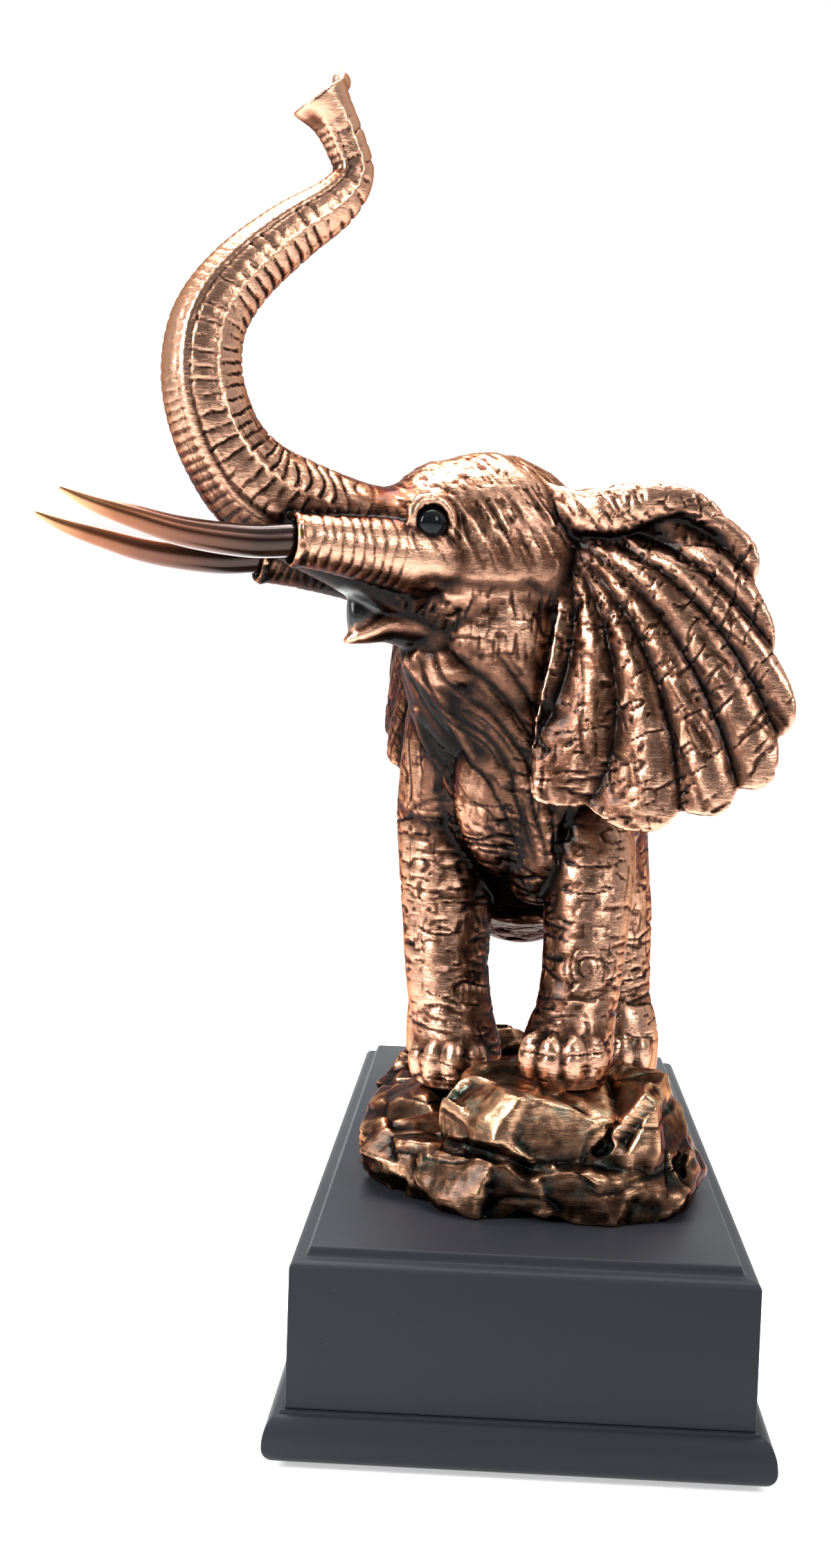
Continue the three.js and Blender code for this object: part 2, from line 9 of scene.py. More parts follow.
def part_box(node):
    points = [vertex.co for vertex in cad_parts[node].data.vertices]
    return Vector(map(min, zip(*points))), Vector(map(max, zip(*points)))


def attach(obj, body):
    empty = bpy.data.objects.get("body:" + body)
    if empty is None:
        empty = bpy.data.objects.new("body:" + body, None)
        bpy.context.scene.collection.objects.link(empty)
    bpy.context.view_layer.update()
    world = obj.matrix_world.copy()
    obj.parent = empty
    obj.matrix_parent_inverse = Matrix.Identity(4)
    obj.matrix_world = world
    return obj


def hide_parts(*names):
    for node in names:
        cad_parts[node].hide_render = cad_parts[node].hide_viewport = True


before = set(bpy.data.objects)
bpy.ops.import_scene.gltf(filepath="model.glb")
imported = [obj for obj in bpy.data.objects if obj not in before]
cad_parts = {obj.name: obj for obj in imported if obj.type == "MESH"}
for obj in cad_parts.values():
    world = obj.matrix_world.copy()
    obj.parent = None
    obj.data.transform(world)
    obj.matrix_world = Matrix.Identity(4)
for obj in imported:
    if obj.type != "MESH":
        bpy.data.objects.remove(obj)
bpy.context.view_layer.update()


# Felt pad: thin black felt glued under the plinth so that it doesn't scratch the table.
# Only its dark edge shows. It keeps its CAD slab and gets a fibrous matt finish.
def linear(hex_value):
    """Linear colour with alpha from an sRGB hex value."""
    parts = [int(hex_value[i:i + 2], 16) / 255 for i in (1, 3, 5)]
    return [p / 12.92 if p <= 0.04045 else ((p + 0.055) / 1.055) ** 2.4 for p in parts] + [1]


def add_node(tree, kind, settings=(), **links):
    """A shader node with its settings; a link is given by the input's name, with _ for a space."""
    node = tree.nodes.new(kind)
    for key, value in dict(settings).items():
        if isinstance(key, str) and hasattr(node, key):
            setattr(node, key, value)
        else:
            node.inputs[key].default_value = value
    for key, source in links.items():
        slot = int(key[1:]) if key[0] == "i" and key[1:].isdigit() else key.replace("_", " ")
        tree.links.new(source, node.inputs[slot])
    return node


def new_material(name):
    material = bpy.data.materials.new(name)
    material.use_nodes = True
    material.node_tree.nodes.clear()
    return material, material.node_tree


def finish_material(tree, shader):
    add_node(tree, "ShaderNodeOutputMaterial", Surface=shader.outputs[0])


def attribute(tree, name):
    return add_node(tree, "ShaderNodeAttribute", {"attribute_name": name}).outputs["Fac"]


def cloudy(tree, place, size, detail, roughness=0.5):
    """Noise whose features have this size in metres."""
    settings = {"Scale": 1 / size, "Detail": detail, "Roughness": roughness}
    return add_node(tree, "ShaderNodeTexNoise", settings, Vector=place).outputs[0]


def black_felt():
    """Pressed black felt: matt, with a fuzz of short fibres."""
    material, tree = new_material("pressed_black_felt")
    place = add_node(tree, "ShaderNodeTexCoord").outputs["Object"]
    fibre = cloudy(tree, place, 0.0012, 6.0, 0.7)
    tint = add_node(tree, "ShaderNodeMix", {"data_type": "RGBA", 6: linear("#0d0e10"), 7: linear("#24262a")},
                    i0=fibre)
    bump = add_node(tree, "ShaderNodeBump", {"Strength": 0.6, "Distance": 0.0003}, Height=fibre)
    shader = add_node(tree, "ShaderNodeBsdfPrincipled", {"Roughness": 0.95, "Sheen Weight": 0.3},
                      Base_Color=tint.outputs[2], Normal=bump.outputs[0])
    finish_material(tree, shader)
    return material


def repaint(node, material):
    """The CAD node keeps its shape and gets a new finish."""
    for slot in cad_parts[node].material_slots:
        slot.material = material


repaint("base_pad", black_felt())


# Plinth: shaped board in two mouldings, sprayed with satin black lacquer that shows a cool sheen.
# The base has a bullnose that curls in below, and the block has an ogee round its top edge.
MM = 0.001


def linked(name, data):
    """New object in the scene."""
    made = bpy.data.objects.new(name, data)
    bpy.context.scene.collection.objects.link(made)
    return made


def placed(mesh, title, material, slot, stands_for, crease=None):
    """Puts a mesh in the scene as a smooth piece, riding on the part's one body."""
    mesh.materials.clear()
    mesh.materials.append(material)
    mesh.shade_smooth()
    if crease:
        mesh.set_sharp_from_angle(angle=math.radians(crease))
    made = linked(title, mesh)
    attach(made, "root")
    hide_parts(*stands_for)


def piece(name, points, faces, *finish, **options):
    """Piece from points in millimetres."""
    mesh = bpy.data.meshes.new(name)
    mesh.from_pydata([tuple(p) for p in np.asarray(points) * MM], [], [tuple(f) for f in faces])
    mesh.validate()
    placed(mesh, name, *finish, **options)
    return mesh


def moulded(width, length, profile, corner=0.5, corner_steps=3):
    """Slab whose outline follows a profile of overhangs and heights, with slightly eased corners."""
    ring = []
    for i, (sx, sy) in enumerate([(1, 1), (-1, 1), (-1, -1), (1, -1)]):
        for j in range(corner_steps + 1):
            a = math.pi / 2 * (i + j / corner_steps)
            ring.append((sx, sy, corner * math.cos(a), corner * math.sin(a)))
    points = [(sx * (width / 2 + over - corner) + cx, sy * (length / 2 + over - corner) + cy, z)
              for over, z in profile for sx, sy, cx, cy in ring]
    n = len(ring)
    faces = [[i * n + j, i * n + (j + 1) % n, (i + 1) * n + (j + 1) % n, (i + 1) * n + j]
             for i in range(len(profile) - 1) for j in range(n)]
    faces += [list(range(n))[::-1], list(range(len(points) - n, len(points)))]
    return points, faces


def black_lacquer():
    """Satin black lacquer with a faint orange peel, cloudy gloss and pale specks of dust."""
    material, tree = new_material("satin_black_lacquer")
    place = add_node(tree, "ShaderNodeTexCoord").outputs["Object"]
    orange_peel = cloudy(tree, place, 0.002, 2.0)
    cloud = cloudy(tree, place, 0.05, 4.0)
    dust = cloudy(tree, place, 0.0016, 1.0)
    speck = add_node(tree, "ShaderNodeMapRange", {"From Min": 0.8, "From Max": 0.86, "To Max": 0.3},
                     Value=dust)
    tint = add_node(tree, "ShaderNodeMix", {"data_type": "RGBA", 6: linear("#26272c"), 7: linear("#5a5c62")},
                    i0=speck.outputs[0])
    sheen = add_node(tree, "ShaderNodeMapRange", {"To Min": 0.36, "To Max": 0.46}, Value=cloud)
    bump = add_node(tree, "ShaderNodeBump", {"Strength": 0.12, "Distance": 0.0002}, Height=orange_peel)
    shader = add_node(tree, "ShaderNodeBsdfPrincipled", {"IOR": 1.45, "Specular IOR Level": 0.08},
                      Base_Color=tint.outputs[2], Roughness=sheen.outputs[0], Normal=bump.outputs[0])
    finish_material(tree, shader)
    return material


lacquer = black_lacquer()
block_low, block_high = [np.array(corner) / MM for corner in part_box("plinth_block")]
base_low, base_high = [np.array(corner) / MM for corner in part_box("plinth_base")]
block_width, block_length = (block_high - block_low)[:2]
plinth_top = block_high[2]

ogee_inset, ogee_height = 6.2, 5.3
ogee = [(0, 0), (0.04, 0.09), (0.15, 0.23), (0.32, 0.34), (0.52, 0.39), (0.69, 0.45), (0.8, 0.6), (0.86, 0.8),
        (0.92, 0.94), (1, 1)]


def catmull(points, t):
    """Places on the smooth line through the points, for t from 0 to 1."""
    p = np.asarray(points, float)
    p = np.vstack([2 * p[0] - p[1], p, 2 * p[-1] - p[-2]])
    x = np.clip(t, 0, 1) * (len(p) - 3)
    i = np.minimum(x.astype(int), len(p) - 4)
    w = (x - i)[:, None]
    a, b, c, d = p[i], p[i + 1], p[i + 2], p[i + 3]
    return b + 0.5 * w * (c - a + w * (2 * a - 5 * b + 4 * c - d + w * (3 * (b - c) + d - a)))


block_profile = [(0, block_low[2])] + [(-x * ogee_inset, plinth_top - ogee_height + z * ogee_height)
                                       for x, z in catmull(ogee, np.linspace(0, 1, 37))]
piece("plinth_block_lacquered", *moulded(block_width, block_length, block_profile), lacquer, "plinth",
      ["plinth_block"], crease=38)

base_overhang = (base_high[0] - base_low[0] - block_width) / 2
base_undercut, base_widest, ledge_inset, ledge_height = 4.5, 5.2, 1.6, 0.9
quarter = np.linspace(0, math.pi / 2, 17)
base_profile = [(base_overhang - base_undercut * (1 - math.sin(a)),
                 base_low[2] + base_widest * (1 - math.cos(a))) for a in quarter]
shoulder = base_high[2] - base_low[2] - ledge_height - base_widest
base_profile += [(base_overhang - (base_overhang - ledge_inset) * (1 - math.cos(a)),
                  base_low[2] + base_widest + shoulder * math.sin(a)) for a in quarter[1:]]
base_profile.append((ledge_inset - 0.3, base_high[2]))
piece("plinth_base_lacquered", *moulded(block_width, block_length, base_profile), lacquer, "plinth",
      ["plinth_base"], crease=38)


# Rock: a casting of angular boulders with chipped flats, copper-plated and toned dark, then worn back on the
# ridges.
# Its upper part carries painted light, lighter towards the top. A little green has grown in the crevices and
# round the feet.
glue_line = 0.3
figure_foot = plinth_top + glue_line


def scatter(seed):
    """Repeatable value between -0.5 and 0.5."""
    value = math.sin(seed * 12.9898) * 43758.5453
    return value - math.floor(value) - 0.5


def boulder(index, x, y, z, width, depth, height, spin, corners=13):
    """Hull of points spread over a ball, as triangles."""
    points = []
    for i in range(corners):
        seed = 31.7 * index + i
        rise = 1 - (2 * i + 1) / corners + 0.16 * scatter(seed)
        a = 2.4 * i + 0.9 * scatter(seed + 0.4)
        out = math.sqrt(max(0, 1 - rise * rise)) ** 0.7
        reach = 1 + 0.12 * scatter(seed + 0.8)
        points.append([out * reach * math.cos(a) * width, out * reach * math.sin(a) * depth,
                       rise * reach * height])
    s = math.radians(spin)
    hull = bmesh.new()
    for px, py, pz in points:
        hull.verts.new((x + px * math.cos(s) - py * math.sin(s), y + px * math.sin(s) + py * math.cos(s),
                        z + pz + figure_foot))
    bmesh.ops.convex_hull(hull, input=hull.verts)
    loose = [v for v in hull.verts if not v.link_faces]
    bmesh.ops.delete(hull, geom=loose, context="VERTS")
    bmesh.ops.triangulate(hull, faces=hull.faces)
    bmesh.ops.recalc_face_normals(hull, faces=hull.faces)
    hull.verts.index_update()
    form = (np.array([v.co for v in hull.verts]), np.array([[v.index for v in f.verts] for f in hull.faces]))
    hull.free()
    return form


def as_mesh(points, faces):
    """Working mesh from arrays, in millimetres."""
    mesh = bpy.data.meshes.new("working")
    mesh.vertices.add(len(points))
    mesh.vertices.foreach_set("co", np.asarray(points, np.float32).ravel())
    faces = np.asarray(faces)
    corners = faces.shape[1]
    mesh.loops.add(faces.size)
    mesh.loops.foreach_set("vertex_index", faces.ravel().astype(np.int32))
    mesh.polygons.add(len(faces))
    mesh.polygons.foreach_set("loop_start", np.arange(0, faces.size, corners, dtype=np.int32))
    mesh.update(calc_edges=True)
    return mesh


def through(mesh, kind, **settings):
    """The mesh after one modifier."""
    working = linked("working", mesh)
    modifier = working.modifiers.new("step", kind)
    for key, value in settings.items():
        setattr(modifier, key, value)
    graph = bpy.context.evaluated_depsgraph_get()
    made = bpy.data.meshes.new_from_object(working.evaluated_get(graph))
    bpy.data.objects.remove(working)
    return made


def arrays(mesh):
    """Points and edges of a mesh."""
    points = np.empty(len(mesh.vertices) * 3, np.float32)
    mesh.vertices.foreach_get("co", points)
    edges = np.empty(len(mesh.edges) * 2, np.int32)
    mesh.edges.foreach_get("vertices", edges)
    return points.reshape(-1, 3).astype(float), edges.reshape(-1, 2)


def fused(forms, voxel):
    """One skin round forms that overlap, as a mesh of even quads."""
    start = np.cumsum([0] + [len(points) for points, _ in forms])
    points = np.vstack([points for points, _ in forms])
    faces = np.vstack([triangles + first for (_, triangles), first in zip(forms, start)])
    return through(as_mesh(points, faces), "REMESH", mode="VOXEL", voxel_size=voxel, use_smooth_shade=True)


def averaged(values, edges, rounds, amount=0.5):
    """Values at the points, each moved towards the mean of its neighbours."""
    values = values.copy()
    flat = values.ndim == 1
    values = values[:, None] if flat else values
    count = np.maximum(np.bincount(edges.ravel(), minlength=len(values)), 1)[:, None]
    for _ in range(rounds):
        total = np.stack([np.bincount(edges[:, 0], values[edges[:, 1], c], len(values))
                          + np.bincount(edges[:, 1], values[edges[:, 0], c], len(values))
                          for c in range(values.shape[1])], 1)
        values += amount * (total / count - values)
    return values[:, 0] if flat else values


def outward(mesh, points):
    """Unit normals at the points."""
    mesh.vertices.foreach_set("co", points.astype(np.float32).ravel())
    mesh.update()
    normals = np.empty(len(points) * 3, np.float32)
    mesh.vertex_normals.foreach_get("vector", normals)
    return normals.reshape(-1, 3).astype(float)


def noise(places, seed=0):
    """Smooth noise from -1 to 1, with features one unit across."""
    cell = np.floor(places).astype(np.int64)
    f = places - cell
    f = f * f * (3 - 2 * f)
    total = np.zeros(len(places))
    for corner in np.ndindex(2, 2, 2):
        c = cell + corner
        mixed = c[:, 0] * 73856093 ^ c[:, 1] * 19349663 ^ c[:, 2] * 83492791 ^ (seed * 2654435761 + 97)
        mixed = (mixed ^ (mixed >> 13)) * 1274126177 & 0xFFFFFFFF
        weight = np.prod(np.where(np.array(corner), f, 1 - f), 1)
        total += weight * ((mixed >> 8 & 0xFFFF) / 32767.5 - 1)
    return total


def creases(places, sharpness, seed=0):
    """Thin wandering lines: 1 on a line and 0 away from it."""
    return np.exp(-(noise(places, seed) / sharpness) ** 2)


def stand_out(points, edges, normals, rounds, amount=0.5):
    """Millimetres by which the points stand out of the surface smoothed over many rounds."""
    return np.einsum("ij,ij->i", normals, points - averaged(points, edges, rounds, amount))


def store(mesh, name, values):
    """Keeps values from 0 to 1 at the points, for the materials to read."""
    layer = mesh.attributes.new(name, "FLOAT", "POINT")
    layer.data.foreach_set("value", np.clip(values, 0, 1).astype(np.float32))


def divided(mesh, chosen):
    """Two meshes: the faces whose corners are all chosen, and the rest."""
    halves = []
    for wanted in (True, False):
        part = bmesh.new()
        part.from_mesh(mesh)
        gone = [f for f in part.faces if all(chosen[v.index] for v in f.verts) != wanted]
        bmesh.ops.delete(part, geom=gone, context="FACES")
        half = bpy.data.meshes.new("half")
        part.to_mesh(half)
        part.free()
        halves.append(half)
    return halves


def thinned(mesh, triangles):
    """The mesh with no more triangles than this."""
    count = sum(len(p.vertices) - 2 for p in mesh.polygons)
    return through(mesh, "DECIMATE", ratio=triangles / count) if count > triangles else mesh


def finished(names, meshes, triangles, material, slot, stands_for):
    """Thins the meshes, turns them to metres and puts them in the scene."""
    for mesh, title in zip(meshes, names):
        mesh = thinned(mesh, triangles)
        mesh.transform(Matrix.Scale(MM, 4))
        mesh.name = title
        placed(mesh, title, material, slot, stands_for)


def toned(tree, level, stops):
    """Colour ramp whose first two stops are its lowest and its highest."""
    tone = add_node(tree, "ShaderNodeValToRGB", i0=level)
    elements = tone.color_ramp.elements
    for element, (position, colour) in zip(elements, stops[:2]):
        element.position, element.color = position, linear(colour)
    for position, colour in stops[2:]:
        elements.new(position).color = linear(colour)
    return tone.outputs[0]


def plated_bronze(name, deep, brown, copper, bright, green, painted=False):
    """Bronze plate under thin lacquer: dark brown in the hollows, worn back to warm copper on the ridges,
    with painted light and shade carried in the same tone.
    """
    material, tree = new_material(name)
    place = add_node(tree, "ShaderNodeTexCoord").outputs["Object"]
    # The tone level read here holds patina and wear together with painted light and shade.
    proud_and_painted_light = attribute(tree, "proud_and_painted_light")
    patches = cloudy(tree, place, 0.014, 5.0, 0.6)
    grain = cloudy(tree, place, 0.0024, 6.0, 0.7)
    level_way = add_node(tree, "ShaderNodeMapping", {"Scale": (1, 1, 4.5)}, Vector=place)
    strokes = cloudy(tree, level_way.outputs[0], 0.005, 3.0, 0.6)
    worn = add_node(tree, "ShaderNodeMath", {"operation": "MULTIPLY_ADD", 1: 0.36, 2: -0.18}, i0=patches)
    fleck = add_node(tree, "ShaderNodeMath", {"operation": "MULTIPLY_ADD", 1: 0.4, 2: -0.2}, i0=grain)
    ground = add_node(tree, "ShaderNodeMath", {"operation": "ADD"}, i0=proud_and_painted_light, i1=worn.outputs[0])
    wear_and_painted_light = add_node(tree, "ShaderNodeMath", {"operation": "ADD"}, i0=ground.outputs[0], i1=fleck.outputs[0])
    tone = toned(tree, wear_and_painted_light.outputs[0], [(0.16, deep), (0.92, bright), (0.4, brown), (0.66, copper)])
    spots = cloudy(tree, place, 0.006, 6.0, 0.75)
    damp = attribute(tree, "damp")
    amount = add_node(tree, "ShaderNodeMapRange", {"From Min": 0.52, "From Max": 0.62, "To Max": green},
                      Value=spots)
    where = add_node(tree, "ShaderNodeMath", {"operation": "MULTIPLY"}, i0=amount.outputs[0], i1=damp)
    colour = add_node(tree, "ShaderNodeMix", {"data_type": "RGBA", 7: linear("#6f9484")},
                      i0=where.outputs[0], i6=tone).outputs[2]
    gloss = add_node(tree, "ShaderNodeMapRange", {"To Min": 0.42, "To Max": 0.2}, Value=wear_and_painted_light.outputs[0])
    coarse = add_node(tree, "ShaderNodeBump", {"Strength": 0.3, "Distance": 0.0006}, Height=grain)
    fine = add_node(tree, "ShaderNodeBump", {"Strength": 0.35, "Distance": 0.0006}, Height=strokes,
                    Normal=coarse.outputs[0])
    shader = add_node(tree, "ShaderNodeBsdfPrincipled", {"Metallic": 0.95, "Specular Tint": linear("#a3795e"),
                                                         "Coat Weight": 0.1, "Coat Roughness": 0.12},
                      Base_Color=colour, Roughness=gloss.outputs[0], Normal=fine.outputs[0])
    if painted:
        black = attribute(tree, "black")
        wet = add_node(tree, "ShaderNodeBsdfPrincipled", {"Base Color": linear("#0a0a0b"), "Roughness": 0.12},
                       Normal=coarse.outputs[0])
        shader = add_node(tree, "ShaderNodeMixShader", i0=black, i1=shader.outputs[0], i2=wet.outputs[0])
    finish_material(tree, shader)
    return material


# Centre, half sizes and spin in degrees of each boulder.
boulders = [
    (3, -91, 28, 34, 27, 17, 6), (36, -86, 22, 18, 28, 24, -10), (-34, -80, 8, 24, 26, 15, 24),
    (-12, -98, 7, 30, 22, 16, -8), (22, -100, 7, 34, 22, 16, 4), (46, -62, 6, 14, 40, 17, 6),
    (-28, -42, 13, 26, 26, 15, -15), (-44, -40, 5, 16, 34, 14, 6), (8, -50, 8, 34, 40, 16, 10),
    (-42, 6, 3, 17, 34, 12, 4), (44, 0, 4, 15, 40, 13, -5), (0, 6, 2, 44, 50, 11, 20),
    (-38, 52, 2, 20, 34, 10, 10), (38, 70, 2, 21, 44, 12, 8), (-34, 94, 1, 24, 26, 11, -6),
    (2, 84, 1, 40, 38, 9, 30), (-20, 123, 2, 33, 12, 15.5, 4), (20, 118, 1, 28, 14, 12, -8),
    (4, -84, 14, 35, 25, 14, 10),
]
rock = fused([boulder(i, *sizes) for i, sizes in enumerate(boulders)], voxel=1.0)
points, edges = arrays(rock)
points = averaged(points, edges, 3)
rock_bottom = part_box("rock_base")[0][2] / MM
normals = averaged(outward(rock, points), edges, 12)
normals /= np.linalg.norm(normals, axis=1)[:, None]
chooser = np.random.default_rng(4)
flats = 150
seats = chooser.choice(len(points), flats, replace=False)
tilts = normals[seats] + 0.14 * chooser.standard_normal((flats, 3))
tilts /= np.linalg.norm(tilts, axis=1)[:, None]
nearest_seat = kdtree.KDTree(flats)
for i, spot in enumerate(points[seats]):
    nearest_seat.insert(spot, i)
nearest_seat.balance()
flat = np.array([nearest_seat.find(spot)[1] for spot in points])
off_flat = np.einsum("ij,ij->i", points - points[seats][flat], tilts[flat])
points -= 0.8 * np.clip(off_flat, -3.2, 3.2)[:, None] * tilts[flat]
points = averaged(points, edges, 1)
normals = outward(rock, points)
seams = creases(np.stack([points[:, 0] / 34, points[:, 1] / 34, points[:, 2] / 7], 1), 0.07, 9)
rough = 0.45 * noise(points / 6, 5) + 0.2 * noise(points / 2.5, 6)
points += normals * (rough - 0.6 * seams)[:, None]
points[:, 2] = np.maximum(points[:, 2], rock_bottom)
normals = outward(rock, points)
# Painted light: the upper rocks are made lighter towards the top.
painted_top_light = 0.3 * np.interp(points[:, 2] - figure_foot, [18, 32], [0, 1])
store(rock, "proud_and_painted_light", 0.42 + painted_top_light + stand_out(points, edges, normals, 5) / 0.9
      + stand_out(points, edges, normals, 60) / 8)
store(rock, "damp", 0.15 + 0.85 * np.exp(-((points[:, 2] - figure_foot - 37) / 9) ** 2))
rock_finish = plated_bronze("toned_bronze_plate_on_rock", "#090605", "#2a1d16", "#5a3f2f", "#b48a6c",
                            green=0.4)
rock_triangles = 110000
finished(["rock"], [rock], rock_triangles, rock_finish, "rock_bronze", ["rock_base"])


# Elephant: one casting with every form fused, its skin carved with rings on the trunk, wrinkles on the
# legs and flutes on the ears. Copper-bronze plate over the whole, rubbed bright on the ridges.
head_turn = math.radians(-22)
head_centre, head_lean = (-48.5, -72), 0.09
forward = np.array([-math.cos(head_turn), math.sin(head_turn), 0])
leftward = np.array([-math.sin(head_turn), -math.cos(head_turn), 0])
upward = np.array([0, 0, 1.0])
across = np.array([1.0, 0, 0])


def at(x, y, z):
    """Place over the figure's foot, in millimetres."""
    return np.array([x, y, z + figure_foot])


def head(ahead, left, high):
    """Place in the turned head: ahead along the face, left towards the near side, and up."""
    return at(*head_centre, high + head_lean * left) + forward * ahead + leftward * left


def sections(stations, rings, side=None):
    """Centres, half sizes and axes of a limb's rings."""
    t = np.linspace(0, 1, rings)
    centres = catmull([s[0] for s in stations], t)
    halves = catmull([s[1:3] for s in stations], t)
    tangents = np.gradient(centres, axis=0)
    tangents /= np.linalg.norm(tangents, axis=1)[:, None]
    wide = np.cross(tangents, upward) if side is None else side - (tangents @ side)[:, None] * tangents
    wide /= np.linalg.norm(wide, axis=1)[:, None]
    return centres, halves, tangents, wide, np.cross(tangents, wide)


def limb(stations, side=None, around=48, rings=60, domes=(0.5, 0.5), mouth=None):
    """Smooth oval tube through its stations, closed by domes, or by a funnel where it has a mouth."""
    centres, halves, tangents, wide, deep = sections(stations, rings, side)
    layers = [(i, 1, 0) for i in range(rings)]
    turns = np.linspace(0, math.pi / 2, 8)[1:-1]
    start = [(0, math.cos(a), -domes[0] * halves[0, 1] * math.sin(a)) for a in turns[::-1]]
    end = [(rings - 1, math.cos(a), domes[1] * halves[-1, 1] * math.sin(a)) for a in turns]
    tips = [centres[0] - tangents[0] * domes[0] * halves[0, 1],
            centres[-1] + tangents[-1] * domes[1] * halves[-1, 1]]
    if mouth:
        end = [(rings - 1, share, -back) for share, back in mouth]
        tips[1] = centres[-1] - tangents[-1] * mouth[-1][1]
    layers = start + layers + end
    angles = np.linspace(0, 2 * math.pi, around, endpoint=False)
    points = np.vstack([centres[i] + tangents[i] * slide
                        + np.outer(np.cos(angles), wide[i]) * halves[i, 0] * share
                        + np.outer(np.sin(angles), deep[i]) * halves[i, 1] * share
                        for i, share, slide in layers])
    points = np.vstack([points, tips])
    j = np.arange(around)
    k = (j + 1) % around
    triangles = []
    for i in range(len(layers) - 1):
        a, b = i * around, (i + 1) * around
        triangles += [np.stack([a + j, a + k, b + k], 1), np.stack([a + j, b + k, b + j], 1)]
    low, last = len(points) - 2, (len(layers) - 1) * around
    triangles += [np.stack([low + 0 * j, k, j], 1), np.stack([low + 1 + 0 * j, last + j, last + k], 1)]
    return points, np.vstack(triangles)


def ball(centre, halves, spin=0.0):
    """Ball with three half sizes, turned about the vertical."""
    mesh = bmesh.new()
    bmesh.ops.create_icosphere(mesh, subdivisions=4, radius=1)
    points = np.array([v.co for v in mesh.verts]) * halves
    triangles = np.array([[v.index for v in f.verts] for f in mesh.faces])
    mesh.free()
    turned = np.array([[math.cos(spin), math.sin(spin), 0], [-math.sin(spin), math.cos(spin), 0], [0, 0, 1]])
    return points @ turned + centre, triangles


# Body, neck, throat, jowl, far shoulder, skull and tail.
barrel = [(-60, 134, 26, 36), (-46, 138, 37, 50), (-26, 142, 45, 61), (6, 142, 47, 62), (36, 136, 47.5, 62),
          (64, 131, 47, 65), (84, 126.5, 44.5, 66.5), (102, 124.5, 40, 61.5), (118, 124, 33, 50),
          (131, 125, 24, 35), (140, 126.5, 14, 20.5)]
throat = [(at(-32, -66, 190), 17, 18), (at(-21, -61, 172), 22, 21), (at(-11, -58, 153), 24, 19),
          (at(-5, -57, 133), 22, 16), (at(-2, -58, 115), 19, 11), (at(0, -54, 98), 13, 7)]
forms = [
    limb([(at(-3, y, z), w, d) for y, z, w, d in barrel], around=160, rings=130, domes=(0.5, 0.25)),
    limb([(at(3, 16, 148), 40, 50), (at(-3, -4, 152), 38, 47), (at(-10, -24, 161), 34, 43),
          (at(-17, -42, 174), 29, 39), (at(-24, -58, 190), 25, 34)], around=120, rings=70),
    limb(throat, leftward, 100, 80),
    limb([(head(-34, 8, 200), 19, 23), (head(-33, 6, 185), 21.5, 24), (at(-12.5, -61.5, 166), 21, 21),
          (at(-9.5, -60, 150), 19, 17)], leftward, 90, 60),
    limb([(at(-23, -42, 178), 15, 14), (at(-27, -42, 162), 17, 16), (at(-30, -38, 145), 17.6, 19),
          (at(-31, -32, 128), 18, 20)], across, 80, 50),
    limb([(head(-60, 0, 210.5), 23, 23), (head(-50, 0, 210.5), 28, 31), (head(-38, 0, 210.5), 29, 35.5),
          (head(-24, 0, 211), 28.5, 35.5), (head(-10, 0, 212), 27, 31), (head(3, 0, 212.5), 24.5, 23.5),
          (head(16, 0, 215), 21, 17.5)], around=140, rings=90),
    limb([(at(-3, 122, 170), 6, 6), (at(-3, 136, 158), 4, 4), (at(-4, 141, 138), 3, 3),
          (at(-6, 142, 116), 2.5, 2.5), (at(-8, 140, 98), 3.2, 3.2), (at(-9, 138, 84), 1.6, 1.6)],
         across, 24, 80),
]

# Ridges of slack skin that run from the jaw and cheek together at the foot of the throat.
throat_folds = [
    [(-44, -73, 176), (-34.5, -77.5, 166.5), (-26.6, -74, 154.2), (-19.5, -73.4, 142), (-12, -74, 128),
     (-5.5, -71, 113)],
    [(-41, -76, 178), (-30.4, -79.4, 169.2), (-21, -79.6, 162.2), (-14, -79, 154)],
    [(-39.5, -66, 161), (-37.5, -58, 150), (-31, -56, 138), (-20.5, -66, 123.1), (-11.9, -65.6, 111.7)],
]
for line in throat_folds:
    forms.append(limb([(at(x, y + 1.6, z), 4 - 0.35 * i, 4 - 0.35 * i) for i, (x, y, z) in enumerate(line)],
                      leftward, 24, 60))

# Trunk: rises forward, sweeps back overhead and ends in a flared mouth with a small finger.
trunk_path = [
    (4, 212, 22, 21), (19, 216.8, 20, 18), (35, 222.6, 17.5, 17.2), (50.5, 230, 15.8, 16.4),
    (61.8, 242.5, 14.2, 14.4), (68, 257, 13.4, 13.6), (69.6, 270.6, 12.8, 13), (66.6, 284.5, 12, 12.2),
    (56.8, 298.6, 11, 11.2), (41.6, 312.6, 9.6, 9.9), (27, 323.8, 8, 8.2), (20.8, 333.6, 6.8, 6.8),
    (24, 343.4, 6.8, 7), (28.4, 351, 7.6, 7.8), (33.4, 357.2, 9.2, 10.4),
]
trunk = [(head(ahead, 0, high), width, depth) for ahead, high, width, depth in trunk_path]
trunk_mouth = [(0.93, -0.6), (0.82, 0), (0.68, 3), (0.5, 7), (0.3, 11)]
forms.append(limb(trunk, leftward, 80, 220, (0.5, 0), mouth=trunk_mouth))
forms.append(ball(head(25.8, 0, 362.6), (3, 4, 3.4), head_turn))

# Sheaths: ringed sleeves of skin with a recess round each tusk.
tusk_radius, tusk_sideways, tusk_spread, tusk_fit, sheath_wall = 5.4, 21, 0.05, 0.35, 2.6
sheath_outer = tusk_radius + tusk_fit + sheath_wall
sheath_mouth = [(0.94, -0.4), (0.84, 0.3), (0.8, 2.2), (0.4, 2.4)]


